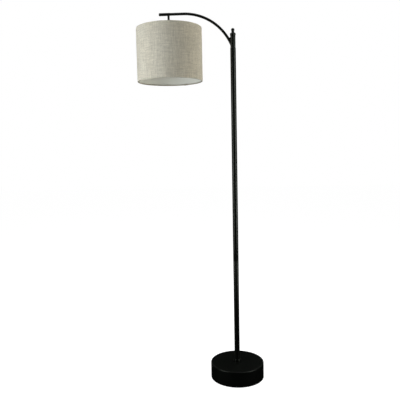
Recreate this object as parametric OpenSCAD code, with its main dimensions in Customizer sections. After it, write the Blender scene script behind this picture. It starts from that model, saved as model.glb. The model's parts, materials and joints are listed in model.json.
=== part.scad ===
// Bridge floor lamp: weighted round base, straight pole, swivelling bridge arm, drum shade.
// Millimetres. The origin is on the floor under the middle of the base, +Z is up, and the arm
// reaches out along -X.

/* [Base] */
// Outer diameter of the base shell
base_d = 254; // [220:1:300]
// Height of the base shell's top above the floor
base_h = 76; // [60:1:90]
// Radius of the shell's rounded upper edge
shell_edge_r = 5; // [2:0.5:10]
// Sheet thickness of the shell
shell_wall = 1.2; // [0.8:0.1:2]
// Thickness of the soft pad under the base
pad_h = 2; // [1:0.5:4]
// Step from the shell's edge in to the pad's edge
pad_inset = 6; // [3:0.5:12]
// Thickness of the plate that closes the base
plate_t = 1.5; // [1:0.1:3]
// Height of the cast weight
weight_h = 18; // [16:1:26]
// Gap all round between the weight and the shell
weight_gap = 3; // [1:0.5:8]
// Outer diameter of the tube that holds the shell's top up
clamp_tube_d = 40; // [34:1:50]
// Wall of that tube
clamp_tube_wall = 2.5; // [1.5:0.5:4]

/* [Base fasteners] */
// Number of screws that hold the plate to the weight
plate_screw_count = 4; // [3:1:8]
// Diameter of the plate screws' heads
plate_screw_head_d = 8; // [6:0.5:10]
// Diameter of the plate screws' shanks
plate_screw_d = 4; // [3:0.5:5]
// Length of the plate screws' shanks
plate_screw_len = 12; // [8:1:14]
// Radius of the circle on which the plate screws lie
plate_screw_ring_r = 90; // [60:1:98]
// Width across the flats of the nut under the weight
stem_nut_af = 22; // [20:0.5:24]
// Height of that nut
stem_nut_h = 6; // [4:0.5:7]
// Outer diameter of the washer above that nut
stem_washer_d = 30; // [27:0.5:32]
// Thickness of that washer
stem_washer_t = 2; // [1:0.5:3]
// Depth of the pocket in the weight's underside that takes the nut
nut_pocket_h = 11; // [10:0.5:13]
// Diameter of that pocket
nut_pocket_d = 34; // [33:0.5:45]

/* [Cord inlet] */
// Height of the cord inlet above the floor
inlet_h = 34; // [31:0.5:42]
// Bore of the inlet for the mains cord
inlet_bore_d = 6.5; // [5:0.5:8]
// Outer diameter of the inlet's threaded barrel
inlet_barrel_d = 11; // [10:0.5:13]
// Outer diameter of the inlet's flange
inlet_flange_d = 17; // [15:0.5:20]
// Thickness of the inlet's flange
inlet_flange_t = 2.5; // [1.5:0.5:4]
// Height of the nut inside the shell
inlet_nut_h = 3.5; // [2.5:0.5:5]
// Width, length and height of the terminal block
block_size = [22, 16, 18]; // [10:1:40]
// Distance from the pole's axis to the terminal block's inner face
block_r = 62; // [45:1:80]

/* [Pole] */
// Outer diameter of the pole
pole_d = 25.5; // [22:0.5:32]
// Wall of the pole's tube
pole_wall = 1.2; // [1:0.1:2]
// Length of each of the pole's three sections
section_h = 493.5; // [420:0.5:560]
// Outer diameter of the trim collar at the pole's foot
collar_d = 36; // [35:0.5:60]
// Height of that collar
collar_h = 12; // [6:0.5:30]
// Radius of the collar's rounded upper edge
collar_edge_r = 2; // [1:0.5:4]
// Diameter of the threads that join the pole's sections
stud_d = 14; // [12:0.5:15]
// Length of a threaded stud that stands out of a section
stud_len = 22; // [15:1:30]
// Height of the threaded insert in a section's lower end
insert_h = 28; // [24:1:40]
// Height of the plug that holds a stud in a section's upper end
plug_h = 18; // [12:1:30]
// Bore of the studs and the stem for the lead
lead_bore_d = 9; // [7:0.5:9.5]

/* [Swivel] */
// Outer diameter of the hollow spindle that the head turns on
spindle_d = 10; // [9:0.5:11]
// Bore of the spindle
spindle_bore_d = 7; // [6:0.5:7.5]
// Height of the plug that holds the spindle in the pole
spindle_plug_h = 30; // [20:1:50]
// Thickness of the plastic washer in the seam
swivel_washer_t = 1; // [0.5:0.1:2]
// Height of the bush's narrow lower part, beside the stop pin
bush_neck_h = 4; // [3:0.5:5]
// Height of the bush's full part
bush_h = 4; // [3:0.5:5]
// Outer diameter of the bush's narrow lower part
bush_neck_d = 12.8; // [12.4:0.2:13.2]
// Diameter of the stop pin
stop_pin_d = 2.6; // [2:0.1:2.8]
// Width of the stop lug on the bush
stop_lug_w = 2.6; // [2:0.1:4]
// Thickness of the spring washer
spring_washer_t = 0.8; // [0.6:0.1:1.2]
// Height of the spindle's lock nut
spindle_nut_h = 3.2; // [2.8:0.1:4]
// Width across the flats of the spindle's lock nut
spindle_nut_af = 15; // [14:0.5:16]

/* [Head] */
// Outer diameter of the head tube
head_d = 23.5; // [22:0.5:30]
// Wall of the head tube
head_wall = 1.3; // [1:0.1:1.6]
// Length of the head tube
head_h = 55; // [52:1:80]
// Outer diameter of the cap on the head tube
cap_d = 26; // [24.4:0.2:34]
// Height of that cap above the tube
cap_h = 10.5; // [8:0.5:16]
// Radius of that cap's rounded shoulder
cap_edge_r = 4; // [1:0.5:5]
// Depth of that cap's spigot in the tube
cap_spigot_h = 6; // [4:0.5:8]
// Diameter of the finial's ball
finial_ball_d = 15.8; // [13.4:0.2:20]
// Height of the finial above the cap
finial_h = 21.6; // [19:0.2:30]
// Diameter of the finial's neck at its narrowest
finial_neck_d = 13; // [9:0.2:13.8]
// Diameter of the finial's foot, where it meets the cap
finial_foot_d = 14.4; // [13.4:0.2:16]
// Diameter of the finial's threaded shank
finial_shank_d = 6; // [5:0.5:8]
// Length of the finial's threaded shank
finial_shank_h = 18; // [14:0.5:22]

/* [Arm] */
// Distance from the pole's axis to the shade's axis
reach = 291; // [240:1:360]
// Length of the level run, from the bend's end to the shade's axis
arm_level = 67; // [45:1:100]
// Angle through which the arm bends, counted from the pole's axis to level
arm_foot_angle = 71.6; // [66:0.2:76]
// Height of the arm's foot above the swivel seam, on the head tube's surface
arm_foot_up = 25.1; // [23:0.1:30]
// Outer diameter of the arm's tube
arm_d = 12; // [10.6:0.2:12.6]
// Wall of the arm's tube
arm_wall = 1; // [0.8:0.1:1.2]
// How far the weld beads spread from the tubes
bead_w = 2.2; // [1:0.1:3]
// Wall of the sleeve over the arm's end
sleeve_wall = 0.5; // [0.4:0.05:1.5]
// How far the sleeve runs on past the shade's axis
sleeve_out = 44; // [20:1:70]
// How far the sleeve runs back from the shade's axis
sleeve_back = 7; // [6.5:0.5:30]
// Thickness of the sleeve's closed end
sleeve_end_t = 3; // [2:0.5:5]
// Outer diameter of the threaded drop tube
drop_d = 10; // [9:0.5:10.4]
// Bore of the drop tube
drop_bore_d = 7; // [6:0.5:7.5]

/* [Leads] */
// Diameter of the inner lead
lead_d = 4; // [3:0.2:4.4]
// Radius of the lead's bend into the stem
lead_bend_r = 15; // [13:1:18]
// Radius of the lead's bends between the spindle and the arm
lead_turn_r = 8; // [6:0.5:9]
// Slope of the lead where it crosses from the spindle to the arm, in degrees above level
lead_slope = 35; // [28:1:40]

/* [Shade] */
// Outer diameter of the shade
shade_d = 300; // [250:1:360]
// Height of the shade
shade_h = 240; // [190:1:300]
// Drop from the arm's axis to the shade's top rim
shade_drop = 62; // [50:1:90]
// Thickness of the linen
fabric_t = 0.8; // [0.6:0.1:1.2]
// Thickness of the stiff liner
liner_t = 0.6; // [0.5:0.1:1]
// Diameter of the wire rings
ring_wire_d = 3; // [2.9:0.1:4]
// Depth of the hems that are turned in over the rings
hem_h = 8; // [6:0.5:14]
// Number of spokes in the shade's fitter
spoke_count = 3; // [3:1:4]
// Diameter of the spokes
spoke_d = 2.6; // [2:0.2:2.8]
// Width of the hem's notches at the spokes
hem_notch_w = 9; // [7:0.5:14]
// Depth of the fitter's washer below the top rim
fitter_recess = 30; // [24:1:40]
// Outer diameter of the fitter's washer
fitter_d = 58; // [52:1:70]
// Thickness of the fitter's washer
fitter_t = 1.5; // [1:0.1:2]

/* [Lamp holder] */
// Outer diameter of the lamp holder's upper part
holder_d = 44; // [44:1:50]
// Diameter of the thread that takes the shade's ring nut
holder_thread_d = 39.5; // [38:0.5:41]
// Height of the lamp holder's upper part, which holds the switch
switch_room_h = 24; // [23:1:32]
// Height of the lamp holder's threaded lower part
holder_skirt_h = 34; // [30:1:42]
// Wall of the lamp holder
holder_wall = 3; // [2.4:0.1:3.2]
// Thickness of the floor between its two parts
holder_floor_t = 2; // [1.5:0.5:3]
// Height of the domed cap on the lamp holder
holder_cap_h = 14; // [10:0.5:20]
// Height of the cap's threaded boss
holder_boss_h = 4; // [3:0.5:8]
// Outer diameter of that boss
holder_boss_d = 18; // [16:0.5:22]
// Height of the nuts that lock the drop tube
drop_nut_h = 4; // [3:0.5:6]
// Width across the flats of those nuts
drop_nut_af = 15; // [14:0.5:16]
// Height of the shade's ring nut
ring_nut_h = 8; // [6:0.5:12]
// Outer diameter of the shade's ring nut
ring_nut_d = 54; // [48:1:56]
// Height of the ceramic insert
insert_disc_h = 6; // [5:0.5:8]
// Inner diameter of the threaded brass shell for the bulb
screw_shell_d = 26.8; // [26.6:0.1:27.2]
// Wall of the brass shell
screw_shell_wall = 0.5; // [0.4:0.1:0.8]
// Height of the brass shell
screw_shell_h = 22; // [18:1:24]
// Width, length and thickness of the centre contact
contact_size = [6, 14, 0.8]; // [0.5:0.1:20]

/* [Switch] */
// Width, length and height of the switch's block
switch_size = [22, 20, 18]; // [14:1:24]
// Diameter of the switch's rotor
rotor_d = 12; // [9:0.5:14]
// Length of the switch's rotor
rotor_len = 10; // [6:0.5:12]
// Diameter of the turn key's shaft
key_shaft_d = 4; // [3:0.5:5]
// Diameter of the turn key's paddle
paddle_d = 16; // [12:1:22]
// Thickness of the turn key's paddle
paddle_t = 3.4; // [2.4:0.2:5]
// Distance from the lamp holder's axis to the paddle's middle
paddle_out = 39; // [36:1:50]

/* [Bulb] */
// Diameter of the bulb's globe
bulb_d = 60; // [45:1:70]
// Length of the bulb from its contact to the globe's end
bulb_len = 108; // [90:1:125]
// Diameter of the bulb's threaded cap
bulb_cap_d = 26; // [25.5:0.1:26.2]
// Height of the bulb's threaded cap with its contact
bulb_cap_h = 25; // [23:1:28]
// Diameter of the bulb's neck
bulb_neck_d = 27; // [26:0.5:32]

/* [Fits] */
// Radial clearance between parts that are screwed or pushed together
fit = 0.1; // [0.05:0.01:0.15]
// Radial clearance of parts that turn in one another
running_fit = 0.05; // [0.02:0.01:0.1]
// Clearance between the cloth, the liner and the rings
shade_fit = 0.2; // [0.15:0.05:0.4]

/* [Hidden] */
$fn = 96;

// How far a cutting shape runs past the surface that it cuts
cut = 1;
// How far two shapes of one piece run into each other
weld = 0.5;
// Colours
black_paint = [0.05, 0.05, 0.05];
black_plastic = [0.1, 0.1, 0.1];
zinc = [0.72, 0.73, 0.74];
cast_grey = [0.28, 0.28, 0.29];
brass = [0.8, 0.64, 0.32];
ceramic = [0.92, 0.91, 0.88];
linen = [0.72, 0.69, 0.62];

// Long sizes that come from an angle are kept to hundredths, so that faces that meet stay in one plane
function hundredths(v) = round(v * 100) / 100;

// Base, from the floor up
plate_z = pad_h;
weight_z = plate_z + plate_t;
weight_top = weight_z + weight_h;
weight_d = base_d - 2 * (shell_wall + weight_gap);
shell_inner_top = base_h - shell_wall;
pocket_top = weight_z + nut_pocket_h;
stem_washer_z = pocket_top - stem_washer_t;
stem_nut_z = stem_washer_z - stem_nut_h;
// How far the stem shows below its nut
stem_end = 1;
stem_z = stem_nut_z - stem_end;
stem_top = base_h + stud_len;
stem_hole_d = stud_d + 4 * fit;

// Cord inlet, outwards from the shell's rear wall: its nut seats on the hollow inner side
inlet_edge_r = 1.5;
inlet_seat = hundredths(base_d / 2 - sqrt((base_d / 2 - shell_wall) ^ 2 - (inlet_flange_d / 2) ^ 2));
inlet_barrel_len = inlet_seat + inlet_nut_h + 1.5;

// Lead and terminal block inside the base
block_z = weight_top;
lead_z = block_z + block_size[2] / 2;
window_w = lead_bore_d - 1;
window_z = lead_z - lead_d;
window_top = lead_z + lead_bend_r;
// Size of the terminal block's wire holes
block_hole_d = 3.5;
block_hole_gap = 9;

// Pole
section_z = [for (i = [0 : 2]) base_h + i * section_h];
pole_top = base_h + 3 * section_h;
pole_bore_d = pole_d - 2 * pole_wall;
insert_d = pole_bore_d - 2 * fit;

// Swivel, from the seam up
washer_top = pole_top + swivel_washer_t;
bush_z = washer_top + bush_neck_h;
bush_top = bush_z + bush_h;
spindle_nut_z = bush_top + spring_washer_t;
// How far the spindle shows above its nut
spindle_end = 0.5;
spindle_top = spindle_nut_z + spindle_nut_h + spindle_end;
head_bore_d = head_d - 2 * head_wall;
bush_d = head_bore_d - 2 * fit;
stop_r = (bush_neck_d + head_bore_d) / 4;
// How far the stop pin goes down into the spindle's plug
stop_pin_depth = 8;
// How far the stop pin and the lug stay from the parts that they pass
stop_gap = 0.3;

// Head
head_top = washer_top + head_h;
cap_top = head_top + cap_h;
finial_ball_z = cap_top + finial_h - finial_ball_d / 2;

// Arm
bend_x = reach - arm_level;
bend_r = hundredths(bend_x / sin(arm_foot_angle));
foot_angle = asin((bend_x - head_d / 2) / bend_r);
arm_z = hundredths(pole_top + arm_foot_up + bend_r * (1 - cos(foot_angle)));
bend_z = arm_z - bend_r;
arm_bore_d = arm_d - 2 * arm_wall;
sleeve_d = arm_d + 2 * (fit + sleeve_wall);
arm_end = reach + sleeve_out - sleeve_end_t;
drop_top = arm_z - arm_bore_d / 2;
// Straight start of the lead above the spindle
lead_start = 1;
// Radius of the lead's turn down into the drop tube
r_down = lead_d + (drop_bore_d - lead_d) / 2;

// Shade
shade_top = arm_z - shade_drop;
shade_bottom = shade_top - shade_h;
shade_r = shade_d / 2;
liner_r = shade_r - fabric_t - shade_fit;
ring_r = liner_r - liner_t - shade_fit / 2 - ring_wire_d / 2;
hem_inner_r = ring_r - ring_wire_d / 2 - shade_fit / 2 - fabric_t;
hem_w = shade_r - hem_inner_r;
hem_mid_r = shade_r - hem_w / 2;
top_ring_z = shade_top - hem_w / 2;
bottom_ring_z = shade_bottom + hem_w / 2;
// Turn of the first spoke about the shade's axis
spoke_turn = 90;

// Lamp holder, from the fitter's washer up and down
fitter_z = shade_top - fitter_recess;
room_floor = fitter_z + holder_floor_t;
room_top = fitter_z + switch_room_h;
holder_mouth = fitter_z - holder_skirt_h;
holder_bore_d = holder_thread_d - 2 * holder_wall;
room_d = holder_d - 2 * holder_wall;
// Hole for the wires through the floor and the insert
wire_hole_d = 5;
holder_cap_top = room_top + holder_cap_h;
boss_top = holder_cap_top + holder_boss_h;
insert_z = fitter_z - insert_disc_h;
shell_z = insert_z - screw_shell_h;
contact_z = insert_z - contact_size[2];
// Room in the cap for the drop tube's lower nut
cap_room_h = drop_nut_h + 3;
cap_room_d = drop_nut_af / cos(30) + 4;
lower_nut_z = room_top + cap_room_h - drop_nut_h;
// How far the drop tube shows below its lower nut
drop_end = 1;
drop_end_z = lower_nut_z - drop_end;

// Switch
key_z = room_floor + switch_size[2] / 2;
rotor_room_d = rotor_d + 1;
// Wall of the switch's block in front of its rotor
switch_front_t = (switch_size[1] - rotor_len) / 2 - 0.5;
rotor_y = -switch_size[1] / 2 + switch_front_t + 0.3;
// Collar on the key's shaft, outside the lamp holder
key_collar_d = 9;
key_collar_len = 4;
key_collar_gap = 0.4;

// Bulb
bulb_top = contact_z - 0.3;
bulb_cap_z = bulb_top - bulb_cap_h;
bulb_mid_z = bulb_top - bulb_len + bulb_d / 2;

// ---------------------------------------------------------------- shared shapes

module tube(d, bore, h) {
    difference() {
        cylinder(d = d, h = h);
        translate([0, 0, -cut]) cylinder(d = bore, h = h + 2 * cut);
    }
}

// Hexagonal nut
module hex_nut(af, bore, h) {
    difference() {
        cylinder(d = af / cos(30), h = h, $fn = 6);
        translate([0, 0, -cut]) cylinder(d = bore, h = h + 2 * cut, $fn = 96);
    }
}

// Disc whose upper edge is rounded
module round_top_disc(d, h, edge) {
    rotate_extrude()
        round_top_outline(d / 2, h, edge);
}

module round_top_outline(r, h, edge) {
    square([r - edge, h]);
    square([r, h - edge]);
    translate([r - edge, h - edge]) intersection() {
        circle(r = edge);
        square(edge);
    }
}

module wire_ring(r, wire) {
    rotate_extrude() translate([r, 0]) circle(d = wire);
}

// Places its children on the shade's axis
module on_shade_axis() {
    translate([-reach, 0, 0]) children();
}

// Solid rod along the arm's centreline, from the pole's axis to a distance x_end from it
module arm_rod(d, x_end) {
    translate([-bend_x, 0, bend_z]) rotate([-90, -90, 0])
        rotate_extrude(angle = arm_foot_angle) translate([bend_r, 0]) circle(d = d);
    translate([-bend_x, 0, arm_z]) rotate([0, -90, 0]) cylinder(d = d, h = x_end - bend_x);
}

// Upright cylinder on the shade's axis, through the lower wall of the arm
module drop_bore(d) {
    on_shade_axis() translate([0, 0, arm_z - sleeve_d]) cylinder(d = d, h = sleeve_d);
}

function unit(v) = v / norm(v);
function tangent(path, i) = unit(path[min(i + 1, len(path) - 1)] - path[max(i - 1, 0)]);

// Points of an arc about a centre, in steps
function arc_points(centre, r, from, to, steps) =
    [for (i = [0 : steps]) let (a = from + (to - from) * i / steps) centre + r * [cos(a), sin(a)]];

// Round lead along a path of [distance along -X, height] points
module lead(path, d) {
    sides = 10;
    rings = len(path);
    points = [for (i = [0 : rings - 1], k = [0 : sides - 1])
        let (t = tangent(path, i), a = 360 * k / sides, side = d / 2 * cos(a))
        [-path[i][0] + side * t[1], d / 2 * sin(a), path[i][1] + side * t[0]]];
    walls = [for (i = [0 : rings - 2], k = [0 : sides - 1])
        let (a = i * sides + k, b = i * sides + (k + 1) % sides)
        each [[a, a + sides, b], [b, a + sides, b + sides]]];
    ends = [[for (k = [0 : sides - 1]) k], [for (k = [sides - 1 : -1 : 0]) (rings - 1) * sides + k]];
    polyhedron(points, concat(walls, ends));
}

// ---------------------------------------------------------------- base

module foot_pad() {
    color(black_plastic) cylinder(d = base_d - 2 * pad_inset, h = pad_h);
}

module plate_screw_places() {
    for (i = [0 : plate_screw_count - 1])
        rotate([0, 0, 45 + 360 * i / plate_screw_count]) translate([plate_screw_ring_r, 0, 0]) children();
}

module base_plate() {
    color(zinc) translate([0, 0, plate_z]) difference() {
        cylinder(d = base_d - 2 * (shell_wall + fit), h = plate_t);
        plate_screw_places() {
            countersink(2 * fit);
            translate([0, 0, -cut]) cylinder(d = plate_screw_d + 2 * fit, h = plate_t + 2 * cut);
        }
    }
}

// Cone of a countersunk head, wide end down, on the plate's underside
module countersink(play) {
    cylinder(d1 = plate_screw_head_d + play, d2 = plate_screw_d + play, h = plate_t);
}

module plate_screws() {
    color(zinc) plate_screw_places() translate([0, 0, plate_z]) {
        countersink(0);
        cylinder(d = plate_screw_d, h = plate_t + plate_screw_len);
    }
}

module base_weight() {
    color(cast_grey) difference() {
        translate([0, 0, weight_z]) cylinder(d = weight_d, h = weight_h);
        translate([0, 0, weight_z - cut]) cylinder(d = nut_pocket_d, h = nut_pocket_h + cut);
        cylinder(d = stem_hole_d, h = weight_top + cut);
        plate_screw_places() translate([0, 0, weight_z - cut])
            cylinder(d = plate_screw_d + 2 * fit, h = plate_screw_len + 1 + cut);
    }
}

module clamp_tube() {
    color(zinc) difference() {
        translate([0, 0, weight_top])
            tube(clamp_tube_d, clamp_tube_d - 2 * clamp_tube_wall, shell_inner_top - weight_top);
        translate([0, 0, lead_z]) rotate([-90, 0, 0]) cylinder(d = window_w, h = clamp_tube_d);
    }
}

module base_shell() {
    inner_edge = shell_edge_r - shell_wall;
    color(black_paint) difference() {
        translate([0, 0, plate_z]) round_top_disc(base_d, base_h - plate_z, shell_edge_r);
        translate([0, 0, plate_z - cut])
            round_top_disc(base_d - 2 * shell_wall, shell_inner_top - plate_z + cut, inner_edge);
        cylinder(d = stem_hole_d, h = base_h + cut);
        inlet_place() cylinder(d = inlet_barrel_d + 2 * fit, h = 2 * inlet_barrel_len, center = true);
    }
}

module base_stem() {
    color(zinc) difference() {
        translate([0, 0, stem_z]) tube(stud_d, lead_bore_d, stem_top - stem_z);
        translate([-window_w / 2, 0, window_z]) cube([window_w, stud_d, window_top - window_z]);
    }
}

module stem_washer() {
    color(zinc) translate([0, 0, stem_washer_z]) tube(stem_washer_d, stud_d + 2 * fit, stem_washer_t);
}

module stem_nut() {
    color(zinc) translate([0, 0, stem_nut_z]) hex_nut(stem_nut_af, stud_d + 2 * fit, stem_nut_h);
}

// ---------------------------------------------------------------- cord inlet, at the rear

// Puts +Z of its children along +Y, on the shell's rear wall
module inlet_place() {
    translate([0, base_d / 2, inlet_h]) rotate([-90, 0, 0]) children();
}

module cord_inlet() {
    color(black_plastic) inlet_place() difference() {
        union() {
            round_top_disc(inlet_flange_d, inlet_flange_t, inlet_edge_r);
            translate([0, 0, -inlet_barrel_len]) cylinder(d = inlet_barrel_d, h = inlet_barrel_len + weld);
        }
        translate([0, 0, -inlet_barrel_len - cut])
            cylinder(d = inlet_bore_d, h = inlet_barrel_len + inlet_flange_t + 2 * cut);
    }
}

module inlet_nut() {
    color(black_plastic) inlet_place() translate([0, 0, -inlet_seat - inlet_nut_h])
        hex_nut(inlet_flange_d * cos(30), inlet_barrel_d + 2 * fit, inlet_nut_h);
}

module terminal_block() {
    color(ceramic) translate([-block_size[0] / 2, block_r, block_z]) difference() {
        cube(block_size);
        for (side = [-1, 1])
            translate([block_size[0] / 2 + side * block_hole_gap / 2, block_size[1] / 2, block_size[2] / 2])
                rotate([-90, 0, 0]) cylinder(d = block_hole_d, h = block_size[1]);
    }
}

// ---------------------------------------------------------------- pole

module pole_collar() {
    color(black_paint) translate([0, 0, base_h]) difference() {
        round_top_disc(collar_d, collar_h, collar_edge_r);
        translate([0, 0, -cut]) cylinder(d = pole_d + 2 * fit, h = collar_h + 2 * cut);
    }
}

module pole_section(i) {
    color(black_paint) translate([0, 0, section_z[i]]) tube(pole_d, pole_bore_d, section_h);
}

module lower_pole() { pole_section(0); }
module middle_pole() { pole_section(1); }
module upper_pole() { pole_section(2); }

// Threaded inserts, one in the lower end of each section
module pole_inserts() {
    color(zinc) for (z = section_z) translate([0, 0, z]) tube(insert_d, stud_d + 2 * fit, insert_h);
}

// Threaded studs, one in the upper end of each section but the top one
module pole_studs() {
    color(zinc) for (i = [1, 2]) translate([0, 0, section_z[i]]) difference() {
        union() {
            translate([0, 0, -plug_h]) cylinder(d = insert_d, h = plug_h);
            cylinder(d = stud_d, h = stud_len);
        }
        translate([0, 0, -plug_h - cut]) cylinder(d = lead_bore_d, h = plug_h + stud_len + 2 * cut);
    }
}

module pole_lead() {
    path = concat([[block_r, lead_z]],
        arc_points([lead_bend_r, lead_z + lead_bend_r], lead_bend_r, 270, 180, 12),
        [[0, spindle_top]]);
    color(ceramic) rotate([0, 0, -90]) lead(path, lead_d);
}

// ---------------------------------------------------------------- swivel

module swivel_spindle() {
    color(zinc) difference() {
        union() {
            translate([0, 0, pole_top - spindle_plug_h]) cylinder(d = insert_d, h = spindle_plug_h);
            translate([0, 0, pole_top]) cylinder(d = spindle_d, h = spindle_top - pole_top);
        }
        translate([0, 0, pole_top - spindle_plug_h - cut])
            cylinder(d = spindle_bore_d, h = spindle_top - pole_top + spindle_plug_h + 2 * cut);
        translate([stop_r, 0, pole_top - stop_pin_depth - fit])
            cylinder(d = stop_pin_d + 2 * fit, h = stop_pin_depth + fit + cut);
    }
}

module stop_pin() {
    color(zinc) translate([stop_r, 0, pole_top - stop_pin_depth])
        cylinder(d = stop_pin_d, h = stop_pin_depth + swivel_washer_t + bush_neck_h - stop_gap);
}

module swivel_washer() {
    color(black_plastic) translate([0, 0, pole_top]) difference() {
        tube(head_d, spindle_d + 2 * fit, swivel_washer_t);
        translate([stop_r, 0, -cut]) cylinder(d = stop_pin_d + 2 * fit, h = swivel_washer_t + 2 * cut);
    }
}

module spring_washer() {
    color(zinc) translate([0, 0, bush_top]) tube(spindle_nut_af, spindle_d + 2 * fit, spring_washer_t);
}

module spindle_nut() {
    color(zinc) translate([0, 0, spindle_nut_z]) hex_nut(spindle_nut_af, spindle_d + 2 * fit, spindle_nut_h);
}

// The lug meets the stop pin, which stands opposite it at rest, near the end of the swing either way
module swivel_bush() {
    lug_r = bush_d / 2 - stop_gap;
    color(brass) difference() {
        union() {
            translate([0, 0, bush_z]) cylinder(d = bush_d, h = bush_h);
            translate([0, 0, washer_top]) cylinder(d = bush_neck_d, h = bush_neck_h);
            translate([-lug_r, -stop_lug_w / 2, washer_top]) cube([lug_r, stop_lug_w, bush_neck_h + weld]);
        }
        translate([0, 0, washer_top - cut])
            cylinder(d = spindle_d + 2 * running_fit, h = bush_neck_h + bush_h + 2 * cut);
    }
}

// ---------------------------------------------------------------- head

module head_tube() {
    color(black_paint) difference() {
        translate([0, 0, washer_top]) tube(head_d, head_bore_d, head_h);
        arm_rod(arm_d + 2 * fit, arm_end);
    }
}

module head_cap() {
    color(black_paint) difference() {
        union() {
            translate([0, 0, head_top]) round_top_disc(cap_d, cap_h, cap_edge_r);
            translate([0, 0, head_top - cap_spigot_h])
                cylinder(d = head_bore_d - 2 * fit, h = cap_spigot_h + weld);
        }
        translate([0, 0, head_top - cap_spigot_h - cut])
            cylinder(d = finial_shank_d + 2 * fit, h = cap_spigot_h + cap_h + 2 * cut);
    }
}

// Ball on a waisted neck: an arc cut into the neck runs from the foot's edge up to the ball
module finial() {
    neck_top = finial_ball_z - sqrt((finial_ball_d / 2) ^ 2 - (finial_neck_d / 2) ^ 2);
    neck_h = neck_top - cap_top;
    waist = (finial_foot_d - finial_neck_d) / 2;
    waist_r = (neck_h ^ 2 + waist ^ 2) / (2 * waist);
    color(black_paint) {
        translate([0, 0, finial_ball_z]) sphere(d = finial_ball_d);
        translate([0, 0, cap_top]) rotate_extrude() difference() {
            square([finial_foot_d / 2, finial_ball_z - cap_top]);
            translate([finial_neck_d / 2 + waist_r, neck_h]) circle(r = waist_r, $fn = 192);
            translate([finial_neck_d / 2, neck_h]) square([finial_foot_d, finial_h]);
        }
        translate([0, 0, cap_top - finial_shank_h]) cylinder(d = finial_shank_d, h = finial_shank_h + weld);
    }
}

// ---------------------------------------------------------------- arm

module arm_tube() {
    color(black_paint) difference() {
        arm_rod(arm_d, arm_end);
        arm_rod(arm_bore_d, arm_end + cut);
        translate([0, 0, pole_top - bend_r]) cylinder(d = head_bore_d, h = bend_r + head_h);
        drop_bore(drop_d + 2 * fit);
    }
}

// Fillets of weld metal: round the arm's foot on the head tube, and round the drop tube's top
module weld_beads() {
    color(black_paint) {
        difference() {
            intersection() {
                arm_rod(arm_d + 2 * bead_w, arm_end);
                translate([0, 0, pole_top]) cylinder(d = head_d + 2 * bead_w, h = head_h);
            }
            translate([0, 0, pole_top - cut]) cylinder(d = head_d + fit, h = head_h + 2 * cut);
            arm_rod(arm_d + fit, arm_end);
        }
        on_shade_axis() difference() {
            translate([0, 0, arm_z - sleeve_d / 2 - bead_w / 2])
                cylinder(d = drop_d + bead_w, h = sleeve_d / 2);
            translate([0, 0, arm_z - sleeve_d]) cylinder(d = drop_d + fit, h = 2 * sleeve_d);
            translate([0, 0, arm_z]) rotate([0, 90, 0])
                cylinder(d = sleeve_d + fit, h = 2 * sleeve_d, center = true);
        }
    }
}

module end_sleeve() {
    sleeve_len = sleeve_back + sleeve_out;
    color(black_paint) difference() {
        translate([sleeve_back - reach, 0, arm_z]) rotate([0, -90, 0]) difference() {
            round_top_disc(sleeve_d, sleeve_len, 2);
            translate([0, 0, -cut]) cylinder(d = arm_d + 2 * fit, h = sleeve_len - sleeve_end_t + cut);
        }
        drop_bore(drop_d + 2 * fit);
    }
}

module drop_tube() {
    color(black_paint) on_shade_axis() translate([0, 0, drop_end_z])
        tube(drop_d, drop_bore_d, drop_top - drop_end_z);
}

// Lock nuts, one on the lamp holder's cap and one inside it
module drop_nuts() {
    color(zinc) on_shade_axis() for (z = [boss_top, lower_nut_z])
        translate([0, 0, z]) hex_nut(drop_nut_af, drop_d + 2 * fit, drop_nut_h);
}

// The lead leaves the spindle upright, leans over into the arm's mouth, turns up again to meet the
// arm's centreline, and follows it to the drop tube
module arm_lead() {
    r = lead_turn_r;
    way = [cos(lead_slope), sin(lead_slope)];
    left = [-sin(lead_slope), cos(lead_slope)];
    bend_mid = [bend_x, bend_z];
    first_mid = [r, spindle_top + lead_start];
    // The second turn's middle lies on a line beside the sloping run, and touches the arm's bend
    side = first_mid + 2 * r * left;
    from_bend = side - bend_mid;
    along = from_bend * way;
    gap = from_bend * from_bend - (bend_r + r) ^ 2;
    second_mid = side - (along + sqrt(along ^ 2 - gap)) * way;
    to_second = second_mid - bend_mid;
    meet = atan2(to_second[1], to_second[0]);
    path = concat(
        [[0, spindle_top]],
        arc_points(first_mid, r, 180, 90 + lead_slope, 8),
        arc_points(second_mid, r, lead_slope - 90, meet - 180, 6),
        arc_points(bend_mid, bend_r, meet - 1, 90, 24),
        arc_points([reach - r_down, arm_z - r_down], r_down, 90, 0, 8),
        [[reach, room_floor + switch_size[2]]]);
    color(ceramic) lead(path, lead_d);
}

// ---------------------------------------------------------------- lamp holder

module holder_cap() {
    color(black_plastic) on_shade_axis() difference() {
        union() {
            translate([0, 0, room_top]) cylinder(d1 = holder_d, d2 = holder_boss_d, h = holder_cap_h);
            translate([0, 0, holder_cap_top - weld]) cylinder(d = holder_boss_d, h = holder_boss_h + weld);
            translate([0, 0, room_top - holder_wall]) cylinder(d = room_d - 2 * fit, h = holder_wall + weld);
        }
        translate([0, 0, room_top - holder_wall - cut])
            cylinder(d = cap_room_d, h = holder_wall + cap_room_h + cut);
        translate([0, 0, room_top]) cylinder(d = drop_d + 2 * fit, h = boss_top - room_top + cut);
    }
}

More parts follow.
